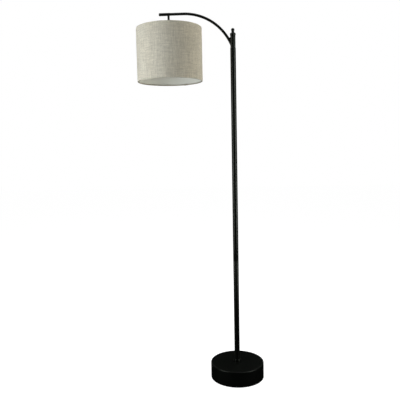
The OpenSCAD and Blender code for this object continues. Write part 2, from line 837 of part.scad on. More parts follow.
module holder_body() {
    color(black_plastic) on_shade_axis() difference() {
        union() {
            translate([0, 0, fitter_z]) cylinder(d = holder_d, h = switch_room_h);
            translate([0, 0, holder_mouth]) cylinder(d = holder_thread_d, h = holder_skirt_h + weld);
        }
        translate([0, 0, room_floor]) cylinder(d = room_d, h = switch_room_h);
        translate([0, 0, holder_mouth - cut]) cylinder(d = holder_bore_d, h = holder_skirt_h + cut);
        translate([0, 0, holder_mouth]) cylinder(d = wire_hole_d, h = holder_skirt_h + switch_room_h);
        translate([0, 0, key_z]) rotate([90, 0, 0])
            cylinder(d = key_shaft_d + 2 * running_fit, h = holder_d);
    }
}

module holder_insert() {
    color(ceramic) on_shade_axis() translate([0, 0, insert_z])
        tube(holder_bore_d - 2 * fit, wire_hole_d, insert_disc_h);
}

module screw_shell() {
    color(brass) on_shade_axis() translate([0, 0, shell_z])
        tube(screw_shell_d + 2 * screw_shell_wall, screw_shell_d, screw_shell_h);
}

module centre_contact() {
    color(brass) on_shade_axis()
        translate([-contact_size[0] / 2, -contact_size[1] / 2, contact_z]) cube(contact_size);
}

module shade_ring_nut() {
    color(black_plastic) on_shade_axis() translate([0, 0, fitter_z - fitter_t - ring_nut_h])
        tube(ring_nut_d, holder_thread_d + 2 * fit, ring_nut_h);
}

// ---------------------------------------------------------------- switch

module switch_block() {
    color(ceramic) on_shade_axis() translate([0, 0, key_z]) difference() {
        cube(switch_size, center = true);
        translate([0, -switch_size[1] / 2 + switch_front_t, 0]) rotate([-90, 0, 0])
            cylinder(d = rotor_room_d, h = switch_size[1]);
        rotate([90, 0, 0]) cylinder(d = key_shaft_d + 2 * running_fit, h = switch_size[1]);
    }
}

module switch_rotor() {
    color(black_plastic) on_shade_axis() translate([0, rotor_y, key_z]) rotate([-90, 0, 0])
        tube(rotor_d, key_shaft_d + running_fit, rotor_len);
}

module switch_key() {
    shaft_len = rotor_y + rotor_len + paddle_out - paddle_d / 4;
    color(black_plastic) on_shade_axis() translate([0, 0, key_z]) {
        translate([0, rotor_y + rotor_len, 0]) rotate([90, 0, 0]) cylinder(d = key_shaft_d, h = shaft_len);
        translate([0, -holder_d / 2 - key_collar_gap, 0]) rotate([90, 0, 0])
            cylinder(d = key_collar_d, h = key_collar_len);
        translate([0, -paddle_out, 0]) cylinder(d = paddle_d, h = paddle_t, center = true);
    }
}

// ---------------------------------------------------------------- shade

// Fitter: recessed washer, sloping spokes and the top wire ring, welded together
module shade_spider() {
    spoke_z = fitter_z - fitter_t + spoke_d / 2;
    spoke_in = fitter_d / 2 - spoke_d;
    rise = top_ring_z - spoke_z;
    run = ring_r - spoke_in;
    color(zinc) on_shade_axis() {
        translate([0, 0, top_ring_z]) wire_ring(ring_r, ring_wire_d);
        translate([0, 0, fitter_z - fitter_t]) tube(fitter_d, holder_thread_d + 1, fitter_t);
        for (i = [0 : spoke_count - 1]) rotate([0, 0, spoke_turn + 360 * i / spoke_count])
            translate([spoke_in, 0, spoke_z]) rotate([0, atan2(run, rise), 0])
                cylinder(d = spoke_d, h = norm([run, rise]));
    }
}

module bottom_ring() {
    color(zinc) on_shade_axis() translate([0, 0, bottom_ring_z]) wire_ring(ring_r, ring_wire_d);
}

module shade_liner() {
    color([0.95, 0.95, 0.93]) on_shade_axis() translate([0, 0, bottom_ring_z])
        tube(2 * liner_r, 2 * (liner_r - liner_t), top_ring_z - bottom_ring_z);
}

// One hem's outline: the cloth goes round over the wire ring and back down inside
module hem_outline() {
    half = hem_w / 2;
    difference() {
        union() {
            translate([hem_mid_r, 0]) circle(r = half);
            translate([hem_inner_r, -hem_h]) square([hem_w, hem_h]);
        }
        translate([hem_mid_r, 0]) circle(r = half - fabric_t);
        translate([hem_inner_r + fabric_t, -hem_h - cut]) square([hem_w - 2 * fabric_t, hem_h + cut]);
    }
}

module shade_fabric() {
    color(linen) on_shade_axis() difference() {
        rotate_extrude() {
            translate([0, top_ring_z]) hem_outline();
            translate([0, bottom_ring_z]) mirror([0, 1]) hem_outline();
            translate([shade_r - fabric_t, bottom_ring_z]) square([fabric_t, top_ring_z - bottom_ring_z]);
        }
        // The turned-in edge is slit where a spoke meets the ring
        for (i = [0 : spoke_count - 1]) rotate([0, 0, spoke_turn + 360 * i / spoke_count])
            translate([ring_r - hem_w, -hem_notch_w / 2, top_ring_z - hem_h - cut])
                cube([hem_w - ring_wire_d / 4, hem_notch_w, hem_h + cut + spoke_d / 2 + shade_fit]);
    }
}

// ---------------------------------------------------------------- bulb

module bulb_cap() {
    tip_h = 3;
    color(zinc) on_shade_axis() {
        translate([0, 0, bulb_cap_z]) cylinder(d = bulb_cap_d, h = bulb_cap_h - tip_h);
        translate([0, 0, bulb_top - tip_h]) cylinder(d1 = bulb_cap_d, d2 = bulb_cap_d / 3, h = tip_h);
    }
}

// Globe that tapers in a straight line to the neck, tangent to the ball
module bulb_globe() {
    r = bulb_d / 2;
    neck_r = bulb_neck_d / 2;
    neck_up = bulb_cap_z - bulb_mid_z;
    reach_up = norm([neck_up, neck_r]);
    side_angle = acos(r / reach_up) - atan2(neck_r, neck_up);
    touch = [r * sin(side_angle), r * cos(side_angle)];
    color(ceramic) on_shade_axis() translate([0, 0, bulb_mid_z]) {
        sphere(r = r);
        rotate_extrude() polygon([[0, 0], touch, [neck_r, neck_up], [0, neck_up]]);
    }
}

// ---------------------------------------------------------------- the lamp

foot_pad();
base_plate();
plate_screws();
base_weight();
clamp_tube();
base_shell();
base_stem();
stem_washer();
stem_nut();
cord_inlet();
inlet_nut();
terminal_block();
pole_collar();
lower_pole();
middle_pole();
upper_pole();
pole_inserts();
pole_studs();
pole_lead();
swivel_spindle();
stop_pin();
swivel_washer();
spring_washer();
spindle_nut();
head_tube();
swivel_bush();
head_cap();
finial();
arm_tube();
weld_beads();
end_sleeve();
drop_tube();
drop_nuts();
arm_lead();
holder_cap();
holder_body();
holder_insert();
screw_shell();
centre_contact();
shade_ring_nut();
shade_spider();
bottom_ring();
shade_liner();
shade_fabric();
bulb_cap();
bulb_globe();
switch_block();
switch_rotor();
switch_key();
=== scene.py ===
# Bridge floor lamp with a linen drum shade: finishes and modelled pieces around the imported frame.
# The scene counts in metres. Sizes of pieces are written in millimetres and turned into metres with MM.

import json
import math
from bisect import bisect_right

import bpy
from mathutils import Matrix, Vector, noise


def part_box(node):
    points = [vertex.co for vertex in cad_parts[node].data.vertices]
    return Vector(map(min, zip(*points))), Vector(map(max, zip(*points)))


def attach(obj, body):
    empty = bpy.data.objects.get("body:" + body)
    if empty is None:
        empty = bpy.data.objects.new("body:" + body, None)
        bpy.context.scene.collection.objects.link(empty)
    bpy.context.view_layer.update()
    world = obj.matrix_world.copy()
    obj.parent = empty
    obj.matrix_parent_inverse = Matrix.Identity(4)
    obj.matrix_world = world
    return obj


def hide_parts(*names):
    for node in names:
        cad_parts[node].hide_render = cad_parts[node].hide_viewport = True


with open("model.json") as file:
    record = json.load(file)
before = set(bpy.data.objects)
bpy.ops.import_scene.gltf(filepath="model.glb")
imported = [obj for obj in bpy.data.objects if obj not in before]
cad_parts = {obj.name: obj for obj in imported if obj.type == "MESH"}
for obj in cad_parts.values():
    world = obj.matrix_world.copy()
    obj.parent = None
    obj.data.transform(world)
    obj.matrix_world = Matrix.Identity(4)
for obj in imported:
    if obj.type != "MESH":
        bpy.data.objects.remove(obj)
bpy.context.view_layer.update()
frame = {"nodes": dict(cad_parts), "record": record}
nodes = frame["nodes"]
MM = 0.001


# -------- places taken from the frame


def low(node):
    """Lowest corner of a node, in millimetres."""
    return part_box(node)[0] / MM


def high(node):
    """Highest corner of a node, in millimetres."""
    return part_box(node)[1] / MM


def heights(node):
    """Lower and upper end of a node, in millimetres."""
    return low(node).z, high(node).z


def width(node):
    """Width of a node along Y, in millimetres."""
    return high(node).y - low(node).y


def radius(node):
    """Radius of a round node, in millimetres."""
    return width(node) / 2


SHADE_X = (low("shade_fabric").x + high("shade_fabric").x) / 2
SHADE_AXIS = (SHADE_X, 0, 0)
SHADE_BOTTOM, SHADE_TOP = heights("shade_fabric")
ARM_Z = sum(heights("end_sleeve")) / 2
KEY_Z = sum(heights("switch_rotor")) / 2
# The arm bends about a line this far from the pole's axis, through this angle from its foot to level
BEND_X = 224
BEND_ANGLE = math.radians(71.6)
BEND_R = round(BEND_X / math.sin(BEND_ANGLE), 2)
# The fitter's washer lies between its ring nut and the lamp holder's shoulder
WASHER_T = 1.5
HOLDER_SEAT = high("shade_ring_nut").z + WASHER_T
# Radii of the lamp holder: its upper part, the room inside it and its threaded skirt
HOLDER_R = 22
ROOM_R = 19
SKIRT_R = 19.75
# Round thread of the bulb's cap
BULB_PITCH = 3.63
BULB_THREAD = 0.75


# -------- camera

CAMERA_PLACE = (-0.0358, -2.32905, 1.1003)
CAMERA_TURN = 0.0554
CAMERA_TILT = 0.10145
CAMERA_ROLL = -0.0209
LENS_MM = 44.776
SENSOR_MM = 36


def make_camera():
    lens = bpy.data.cameras.new("camera")
    lens.lens = LENS_MM
    lens.sensor_width = SENSOR_MM
    lens.clip_end = 50
    camera = bpy.data.objects.new("camera", lens)
    bpy.context.scene.collection.objects.link(camera)
    camera.matrix_world = (
        Matrix.Translation(CAMERA_PLACE)
        @ Matrix.Rotation(CAMERA_TURN, 4, "Z")
        @ Matrix.Rotation(math.pi / 2 - CAMERA_TILT, 4, "X")
        @ Matrix.Rotation(CAMERA_ROLL, 4, "Z")
    )
    bpy.context.scene.camera = camera


# -------- modelling tools


def pick(*pieces):
    """Selects these pieces alone and makes the first one active."""
    bpy.ops.object.select_all(action="DESELECT")
    for piece in pieces:
        piece.select_set(True)
    bpy.context.view_layer.objects.active = pieces[0]


def edit():
    bpy.ops.object.mode_set(mode="EDIT")


def leave_edit():
    bpy.ops.object.mode_set(mode="OBJECT")


def select_mesh():
    bpy.ops.mesh.select_all(action="SELECT")


def merge_doubles(distance=1e-6):
    select_mesh()
    bpy.ops.mesh.remove_doubles(threshold=distance)


def face_outwards():
    select_mesh()
    bpy.ops.mesh.normals_make_consistent(inside=False)


def settle(obj, sharp=32):
    """Puts the piece's place into its mesh and smooths it, all but the edges sharper than an angle."""
    pick(obj)
    bpy.ops.object.transform_apply(location=True, rotation=True, scale=True)
    bpy.ops.object.shade_smooth_by_angle(angle=math.radians(sharp))
    return obj


def modify(obj, kind, **settings):
    """Adds a modifier to a piece and applies it."""
    pick(obj)
    modifier = obj.modifiers.new(kind.lower(), kind)
    for name, value in settings.items():
        setattr(modifier, name, value)
    bpy.ops.object.modifier_apply(modifier=modifier.name)
    return obj


def joined(name, pieces):
    """Joins several meshes into one piece."""
    pick(*pieces)
    bpy.ops.object.join()
    pieces[0].name = name
    return pieces[0]


def rounded(corners, steps=5):
    """Outline through (radius, height, round) corners, where round is the corner's own radius."""
    points = []
    last = len(corners) - 1
    for i, (r, z, corner_r) in enumerate(corners):
        here = Vector((r, z))
        if corner_r == 0 or i in (0, last):
            points.append(here)
            continue
        back = (Vector(corners[i - 1][:2]) - here).normalized()
        ahead = (Vector(corners[i + 1][:2]) - here).normalized()
        half = back.angle(ahead) / 2
        middle = here + (back + ahead).normalized() * corner_r / math.sin(half)
        start = here + back * corner_r / math.tan(half) - middle
        end = here + ahead * corner_r / math.tan(half) - middle
        turn = math.atan2(start.x * end.y - start.y * end.x, start.dot(end))
        for k in range(steps + 1):
            points.append(middle + Matrix.Rotation(turn * k / steps, 2) @ start)
    return points


def ladder(r, z_from, z_to, count):
    """Corners along a straight side, in equal steps, for a side that is shaped further."""
    return [(r, z_from + (z_to - z_from) * k / count, 0) for k in range(count + 1)]


# For each axis of turning: the direction of the radius at the start, and that of the axis
SPIN_AXES = {
    "X": (Vector((0, 0, 1)), Vector((1, 0, 0))),
    "Y": (Vector((1, 0, 0)), Vector((0, 1, 0))),
    "Z": (Vector((1, 0, 0)), Vector((0, 0, 1))),
}


def turned(name, corners, middle=(0, 0, 0), axis="Z", steps=96, sharp=32, closed=False):
    """Lathe work: one vertex is extruded along the outline, and the outline is spun about the axis.

    corners are (radius, distance along the axis, round) in millimetres from middle.
    A closed outline is that of a ring or a tube, which doesn't touch the axis.
    """
    out, along = SPIN_AXES[axis]
    outline = rounded(corners + [corners[0]] if closed else corners)
    middle = Vector(middle) * MM
    places = [middle + (out * p.x + along * p.y) * MM for p in outline]
    bpy.ops.mesh.primitive_plane_add(size=MM, location=places[0])
    obj = bpy.context.object
    edit()
    select_mesh()
    bpy.ops.mesh.merge(type="CENTER")
    for here, ahead in zip(places, places[1:]):
        bpy.ops.mesh.extrude_region_move(TRANSFORM_OT_translate={"value": ahead - here})
    merge_doubles()
    select_mesh()
    bpy.ops.mesh.spin(steps=steps, dupli=False, angle=math.tau, center=middle, axis=along)
    merge_doubles()
    face_outwards()
    leave_edit()
    obj.name = name
    return settle(obj, sharp)


def tube(name, r, bore_r, z_from, z_to, rounds, middle=(0, 0, 0), steps=128):
    """Tube or washer. Its rounds are the lower inner edge's, the lower outer's, the upper outer's and the
    upper inner's."""
    low_in, low_out, top_out, top_in = rounds
    corners = [(bore_r, (z_from + z_to) / 2, 0), (bore_r, z_from, low_in), (r, z_from, low_out),
               (r, z_to, top_out), (bore_r, z_to, top_in)]
    return turned(name, corners, middle, steps=steps, closed=True)


def shift_skin(obj, move):
    """Moves each vertex out from the shade's axis by move(radius, angle, height), in millimetres."""
    for vertex in obj.data.vertices:
        x, y = vertex.co.x / MM - SHADE_X, vertex.co.y / MM
        r = math.hypot(x, y)
        if r < 1e-6:
            continue
        k = 1 + move(r, math.atan2(y, x), vertex.co.z / MM) / r
        vertex.co.x = (SHADE_X + x * k) * MM
        vertex.co.y = y * k * MM


def cut_thread(obj, inner_r, outer_r, z_from, z_to, pitch, depth):
    """Rolls a round thread into the skins between two radii and two heights."""
    slack = 0.1

    def move(r, angle, z):
        if not (inner_r - slack <= r <= outer_r + slack and z_from <= z <= z_to):
            return 0
        fade = min(1, (z - z_from) / pitch, (z_to - z) / pitch)
        return depth * fade * (math.cos(math.tau * z / pitch - angle) - 1) / 2

    shift_skin(obj, move)


def wire(name, points, r):
    """Round wire along points in millimetres, with closed ends."""
    line = bpy.data.curves.new(name, "CURVE")
    line.dimensions = "3D"
    line.bevel_depth = r * MM
    line.bevel_resolution = 3
    line.use_fill_caps = True
    spline = line.splines.new("POLY")
    spline.points.add(len(points) - 1)
    for point, place in zip(spline.points, points):
        point.co = (*(Vector(place) * MM), 1)
    obj = bpy.data.objects.new(name, line)
    bpy.context.scene.collection.objects.link(obj)
    pick(obj)
    bpy.ops.object.convert(target="MESH")
    obj = bpy.context.object
    edit()
    merge_doubles()
    face_outwards()
    leave_edit()
    return settle(obj, 50)


def formed(name, rows):
    """Closed band whose rows of points, in millimetres, go round one way and join up the other way."""
    bpy.ops.mesh.primitive_torus_add(major_segments=len(rows), minor_segments=len(rows[0]))
    obj = bpy.context.object
    obj.name = name
    points = [point for row in rows for point in row]
    for vertex, point in zip(obj.data.vertices, points):
        vertex.co = Vector(point) * MM
    edit()
    face_outwards()
    leave_edit()
    return settle(obj, 60)


def fillet(name, ends, count, root_depth, steps=8):
    """Weld metal between two skins, hollow like an arc.

    ends(angle) gives its edge on one skin, the root and its edge on the other.
    """
    rows = []
    for k in range(count):
        first, root, last = ends(math.tau * k / count)
        inward = (root - (first + last) / 2).normalized()
        pull = math.sin((first - root).angle(last - root) / 2)
        row = []
        for i in range(steps + 1):
            t = i / steps
            shares = ((1 - t) ** 2, 2 * t * (1 - t) * pull, t ** 2)
            row.append((first * shares[0] + root * shares[1] + last * shares[2]) / sum(shares))
        rows.append(row + [root + inward * root_depth])
    return formed(name, rows)


def shaped_by(obj, tool, operation, sharp):
    """Cuts a piece with a tool, or keeps what the two share."""
    modify(obj, "BOOLEAN", object=tool, operation=operation, solver="EXACT")
    bpy.data.objects.remove(tool)
    return settle(obj, sharp)


def drilled(obj, d, start, end, sharp=32):
    """Drills a round hole between two points in millimetres."""
    start, end = Vector(start) * MM, Vector(end) * MM
    bpy.ops.mesh.primitive_cylinder_add(
        vertices=64, radius=d / 2 * MM, depth=(end - start).length, location=(start + end) / 2,
        rotation=(end - start).to_track_quat("Z", "Y").to_euler())
    return shaped_by(obj, settle(bpy.context.object), "DIFFERENCE", sharp)


def hex_nut(across, bore_r, z_from, z_to):
    """Hexagonal nut on the drop pipe, its corners turned down at both faces and its bore countersunk."""
    corner_r, flat_r = across / math.sqrt(3), across / 2
    slope = (corner_r - flat_r) / math.sqrt(3)
    sink, edge = 0.4, 0.2
    bpy.ops.mesh.primitive_cylinder_add(
        vertices=6, radius=corner_r * MM, depth=(z_to - z_from) * MM,
        location=(SHADE_X * MM, 0, (z_from + z_to) / 2 * MM))
    nut = settle(bpy.context.object, 20)
    blank = turned("blank", [
        (bore_r, (z_from + z_to) / 2, 0), (bore_r, z_from + sink, 0), (bore_r + sink, z_from, 0),
        (flat_r - edge, z_from, 0), (corner_r, z_from + slope, 0), (corner_r, z_to - slope, 0),
        (flat_r - edge, z_to, 0), (bore_r + sink, z_to, 0), (bore_r, z_to - sink, 0),
    ], SHADE_AXIS, closed=True)
    return shaped_by(nut, blank, "INTERSECT", 20)


def spot_weld(size, place):
    """Small flattened drop of weld metal."""
    bpy.ops.mesh.primitive_uv_sphere_add(
        segments=20, ring_count=12, radius=1, location=Vector(place) * MM, scale=[r * MM for r in size])
    return settle(bpy.context.object, 80)


# -------- shader tools


class Wire:
    """A value that runs between shader nodes. Sums on wires add Math nodes."""

    def __init__(self, nodes, socket):
        self.nodes = nodes
        self.socket = socket

    def math(self, operation, *others):
        terms = dict(enumerate((self, *others)))
        return self.nodes.add("ShaderNodeMath", {"operation": operation}, terms)

    def __add__(self, other):
        return self.math("ADD", other)

    __radd__ = __add__

    def __sub__(self, other):
        return self.math("SUBTRACT", other)

    def __rsub__(self, other):
        return self.nodes.add("ShaderNodeMath", {"operation": "SUBTRACT"}, {0: other, 1: self})

    def __mul__(self, other):
        return self.math("MULTIPLY", other)

    __rmul__ = __mul__

    def between(self, start, end, first=0, last=1):
        """First value below start, last value above end, and a smooth step between them."""
        inputs = {"Value": self, "From Min": start, "From Max": end, "To Min": first, "To Max": last}
        return self.nodes.add("ShaderNodeMapRange", {"interpolation_type": "SMOOTHSTEP"}, inputs)


class Nodes:
    """The nodes of a material or a world."""

    def __init__(self, tree):
        self.tree = tree

    def add(self, kind, settings=None, inputs=None, output=0):
        """Adds a node, sets what its settings say, then the values or links of its sockets."""
        made = self.tree.nodes.new(kind)
        for name, value in (settings or {}).items():
            setattr(made, name, value)
        for name, value in (inputs or {}).items():
            if isinstance(value, Wire):
                self.tree.links.new(value.socket, made.inputs[name])
            else:
                made.inputs[name].default_value = value
        return Wire(self, made.outputs[output])


class Finish(Nodes):
    """One material with its Principled shader.

    Its patterns lie on the points of the piece, or on a UV map, in metres.
    """

    def __init__(self, name, uv_map=None, **constants):
        self.material = bpy.data.materials.new(name)
        self.material.use_nodes = True
        super().__init__(self.material.node_tree)
        self.shader = self.tree.nodes["Principled BSDF"]
        for socket, value in constants.items():
            self.shader.inputs[socket.replace("_", " ")].default_value = value
        if uv_map:
            self.place = self.add("ShaderNodeUVMap", {"uv_map": uv_map})
        else:
            self.place = self.add("ShaderNodeTexCoord", output="Object")

    def cloud(self, scale, detail=2, rough=0.5):
        """Soft noise from 0 to 1. Its scale is one number, or one for each axis to draw it out."""
        place = self.place
        if isinstance(scale, tuple):
            place = self.add("ShaderNodeVectorMath", {"operation": "MULTIPLY"}, {0: place, 1: scale})
            scale = 1
        inputs = {"Vector": place, "Scale": scale, "Detail": detail, "Roughness": rough}
        return self.add("ShaderNodeTexNoise", inputs=inputs)

    def cells(self, scale):
        """Distance to the nearest of many scattered points."""
        inputs = {"Vector": self.place, "Scale": scale}
        return self.add("ShaderNodeTexVoronoi", inputs=inputs, output="Distance")

    def mixed(self, factor, first, second):
        """Colour between two others. Each is a wire, or its red, green and blue."""
        ends = [colour if isinstance(colour, Wire) else (*colour, 1) for colour in (first, second)]
        inputs = {0: factor, 6: ends[0], 7: ends[1]}
        return self.add("ShaderNodeMix", {"data_type": "RGBA"}, inputs, output=2)

    def drive(self, **sockets):
        """Links wires to the shader's own sockets."""
        for name, value in sockets.items():
            self.tree.links.new(value.socket, self.shader.inputs[name.replace("_", " ")])

    def done(self, colour, roughness, height, depth_mm, strength=1.0, **others):
        """Drives colour, roughness and a small relief of a depth in millimetres. Gives the material."""
        inputs = {"Height": height, "Distance": depth_mm * MM, "Strength": strength}
        bump = self.add("ShaderNodeBump", inputs=inputs, output="Normal")
        self.drive(Base_Color=colour, Roughness=roughness, Normal=bump, **others)
        return self.material


# -------- finishes


def powder_coat_finish(name, gloss, roughness):
    """Powder coat, nearly black, with a fine orange peel."""
    coat = Finish(name, Specular_IOR_Level=gloss)
    peel, patch = coat.cloud(480), coat.cloud(38)
    speck = coat.cells(1100).between(0.12, 0.05)
    colour = coat.mixed(patch * 0.7 + speck * 0.3, (0.0010, 0.0015, 0.0010), (0.0026, 0.0032, 0.0024))
    return coat.done(colour, roughness + patch * 0.07 + peel * 0.04, peel + speck * 0.2, 0.010)


# Threads of the linen: their pitch along the cut and across it, and how far they wander, in metres
WARP_PITCH, WEFT_PITCH = 0.00078, 0.00086
WARP_WANDER, WEFT_WANDER = 0.0011, 0.0012
# Yarn from dark to light, each in two casts, and the colour of the painted shade that darkens the
# turned-in edges round the rings
DARK_YARN = (0.366, 0.330, 0.246), (0.354, 0.328, 0.254)
LIGHT_YARN = (0.875, 0.810, 0.636), (0.858, 0.808, 0.652)
HEM_SHADE = (0.11, 0.10, 0.075)
# What both hems take up of the cut's width, and how far from the cut's edge the painted shade ends and is
# full
HEMS_W = 19
HEM_SHADE_END, HEM_SHADE_FULL = 10.5, 8.5


def linen_finish():
    """Natural linen in plain weave, with painted shade on its turned-in edges. The cloth's UV map is its
    flat cut.
    """
    cloth = Finish("linen", "flat_cut", Specular_IOR_Level=0.15, Sheen_Weight=0.10, Sheen_Roughness=0.55)

    def threads(across, along, **options):
        """Noise drawn out along the threads, with its size across and along the cut in millimetres."""
        return cloth.cloud((1 / (across * MM), 1 / (along * MM), 1), **options)

    u = cloth.add("ShaderNodeSeparateXYZ", inputs={0: cloth.place}, output="X")
    v = cloth.add("ShaderNodeSeparateXYZ", inputs={0: cloth.place}, output="Y")
    warp_wave = ((u + (threads(9, 28) - 0.5) * WARP_WANDER) * (math.pi / WARP_PITCH)).math("SINE")
    weft_wave = ((v + (threads(24, 8) - 0.5) * WEFT_WANDER) * (math.pi / WEFT_PITCH)).math("SINE")
    warp_on_top = (warp_wave * weft_wave).between(-0.45, 0.45)
    warp_body, weft_body = warp_wave.math("ABSOLUTE"), weft_wave.math("ABSOLUTE")
    body = warp_body * warp_on_top + weft_body * (1 - warp_on_top)
    warp_tone = threads(1.3, 42, detail=3, rough=0.6)
    weft_tone = threads(46, 1.4, detail=3, rough=0.6)
    tone = warp_tone * warp_on_top + weft_tone * (1 - warp_on_top)
    streaks = threads(5.0, 60) * 1.2 + threads(44, 5.0) * 1.2 - 1.2
    grain = threads(6.5, 10, detail=1)
    bars = threads(4.0, 260, detail=1)
    warp_slubs, weft_slubs = threads(2.0, 15).between(0.66, 0.78), threads(17, 2.1).between(0.68, 0.80)
    slubs = warp_slubs.math("MAXIMUM", weft_slubs)
    flecks = threads(1.1, 7).between(0.74, 0.82)
    gaps = 1 - body.between(0.05, 0.55)
    shade = 0.5 + (tone - 0.5) * 1.1 + streaks * 0.42 + (bars - 0.5) * 0.2 + (grain - 0.5) * 0.25
    shade += slubs * 0.16 - gaps * 0.42 - flecks * 0.2
    cast = threads(60, 90, detail=1)
    dark, light = cloth.mixed(cast, *DARK_YARN), cloth.mixed(cast, *LIGHT_YARN)
    woven = cloth.mixed(shade.between(-0.15, 1.15), dark, light)
    # Painted shade: the cloth turned in round both rings is darkened as if it lay in shadow
    half_cut = (SHADE_TOP - SHADE_BOTTOM + HEMS_W) / 2
    off_middle = (v - half_cut * MM).math("ABSOLUTE")
    hem_shade = off_middle.between((half_cut - HEM_SHADE_END) * MM, (half_cut - HEM_SHADE_FULL) * MM)
    relief = body + slubs * 0.8 + (tone - 0.5) * 0.6
    return cloth.done(cloth.mixed(hem_shade * 0.45, woven, HEM_SHADE), 0.98 - body * 0.12, relief, 0.22, 0.8)


def shade_lining_finish():
    """Matt white film with a faint calendered grain."""
    film = Finish("shade_lining", Specular_IOR_Level=0.25)
    grain, patch = film.cloud((260, 260, 36)), film.cloud(14)
    colour = film.mixed(patch * 0.6 + grain * 0.4, (0.77, 0.765, 0.675), (0.83, 0.825, 0.737))
    return film.done(colour, 0.56 + grain * 0.14, grain, 0.03)


def zinc_steel_finish():
    """Bright zinc plate with a soft spangle and faint handling marks."""
    plate = Finish("zinc_steel", Metallic=1.0)
    spangle, haze = plate.cells(210), plate.cloud(60, detail=3)
    marks = plate.cloud((90, 90, 1400))
    colour = plate.mixed(haze * 0.7 + spangle * 0.3, (0.50, 0.52, 0.53), (0.74, 0.75, 0.74))
    return plate.done(colour, 0.26 + haze * 0.16 + marks * 0.10, marks + spangle * 0.5, 0.012)


def cast_iron_finish():
    """Sand-cast iron under thin dark paint."""
    iron = Finish("cast_iron", Metallic=0.35)
    sand = iron.cloud(420, detail=5, rough=0.7)
    pits = iron.cells(130).between(0.30, 0.12)
    rust = iron.cloud(22, detail=4).between(0.58, 0.74)
    bare = iron.mixed(sand, (0.055, 0.056, 0.060), (0.135, 0.135, 0.140))
    colour = iron.mixed(rust * 0.55, bare, (0.150, 0.070, 0.034))
    return iron.done(colour, 0.62 + sand * 0.25, sand - pits * 0.5, 0.45)


def black_plastic_finish():
    """Moulded black phenolic, satin, with a little flow mottle."""
    resin = Finish("black_plastic", Specular_IOR_Level=0.5)
    flow, grain = resin.cloud(85, detail=4, rough=0.6), resin.cloud(1500)
    colour = resin.mixed(flow, (0.0075, 0.0075, 0.0080), (0.0190, 0.0185, 0.0180))
    return resin.done(colour, 0.34 + flow * 0.12 + grain * 0.08, grain, 0.02)


def brass_finish():
    """Drawn brass, a little dulled."""
    metal = Finish("brass", Metallic=1.0)
    dull, drawn = metal.cloud(95, detail=4), metal.cloud((120, 120, 2400))
    colour = metal.mixed(dull, (0.80, 0.58, 0.25), (0.62, 0.43, 0.19))
    return metal.done(colour, 0.20 + dull * 0.20 + drawn * 0.08, drawn, 0.008)


def ceramic_finish():
    """Glazed off-white ceramic with small specks."""
    glaze = Finish("ceramic", Coat_Roughness=0.08)
    body = glaze.cloud(55, detail=3)
    specks = glaze.cells(340).between(0.13, 0.07)
    clay = glaze.mixed(body, (0.80, 0.775, 0.715), (0.87, 0.855, 0.805))
    colour = glaze.mixed(specks * 0.6, clay, (0.38, 0.31, 0.23))
    return glaze.done(colour, 0.22 + body * 0.12, body, 0.04, Coat_Weight=0.35 + body * 0.3)


def lead_jacket_finish():
    """Soft white jacket of the inner lead."""
    jacket = Finish("lead_jacket", Specular_IOR_Level=0.4)
    grime = jacket.cloud(140, detail=3)
    colour = jacket.mixed(grime, (0.62, 0.60, 0.55), (0.74, 0.73, 0.69))
    return jacket.done(colour, 0.42 + grime * 0.14, jacket.cloud(900), 0.02)


def soft_pad_finish():
    """Black cellular foam with its cut skin."""
    foam = Finish("soft_pad", Specular_IOR_Level=0.2)
    bubbles, shade = foam.cells(760), foam.cloud(45, detail=3)
    colour = foam.mixed(shade * 0.6 + bubbles * 0.4, (0.010, 0.010, 0.011), (0.030, 0.030, 0.031))
    return foam.done(colour, 0.84 + shade * 0.12, bubbles, 0.30)


def aluminium_finish():
    """Rolled bulb-cap aluminium with lines round it."""
    metal = Finish("aluminium", Metallic=1.0)
    lines, haze = metal.cloud((40, 40, 3000)), metal.cloud(70)
    colour = metal.mixed(haze, (0.66, 0.66, 0.66), (0.80, 0.80, 0.79))
    return metal.done(colour, 0.24 + lines * 0.14 + haze * 0.06, lines, 0.01)


def frosted_glass_finish():
    """Opal glass, white inside, with a silky etched skin."""
    opal = Finish("frosted_glass", Coat_Roughness=0.25, Subsurface_Scale=0.004, Subsurface_Weight=0.25)
    cloud, etch = opal.cloud(26), opal.cloud(1300)
    colour = opal.mixed(cloud, (0.86, 0.86, 0.835), (0.91, 0.91, 0.89))
    return opal.done(colour, 0.26 + etch * 0.10, etch, 0.006, Coat_Weight=0.12 + cloud * 0.12)


FINISHES = {
    "black_paint": powder_coat_finish("black_coat", 0.32, 0.24),
    "linen": linen_finish(),
    "shade_lining": shade_lining_finish(),
    "zinc_steel": zinc_steel_finish(),
    "cast_iron": cast_iron_finish(),
    "black_plastic": black_plastic_finish(),
    "brass": brass_finish(),
    "ceramic": ceramic_finish(),
    "lead_jacket": lead_jacket_finish(),
    "soft_pad": soft_pad_finish(),
    "aluminium": aluminium_finish(),
    "frosted_glass": frosted_glass_finish(),
}


def finish_nodes():
    """Gives each CAD node the finish of its slot in the record. The base is duller than the tubes."""
    for part in frame["record"]["subparts"]:
        nodes[part["node"]].material_slots[0].material = FINISHES[part["material_slot"]]
    nodes["base_shell"].material_slots[0].material = powder_coat_finish("base_coat", 0.22, 0.31)


def mount(obj, slot, body, *replaced):
    """Gives a new piece its slot's finish, lets it ride on a body, and hides the CAD nodes it stands for.
    """
    obj.data.materials.clear()
    obj.data.materials.append(FINISHES[slot])
    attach(obj, body)
    if replaced:
        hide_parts(*replaced)


# -------- sheets of the shade


def wall_profile(corners):
    """Points of a sheet's profile, and how far along the profile each one lies."""
    points = rounded(corners, 6)
    way = [0.0]
    for here, ahead in zip(points, points[1:]):
        way.append(way[-1] + (ahead - here).length)
    return points, way


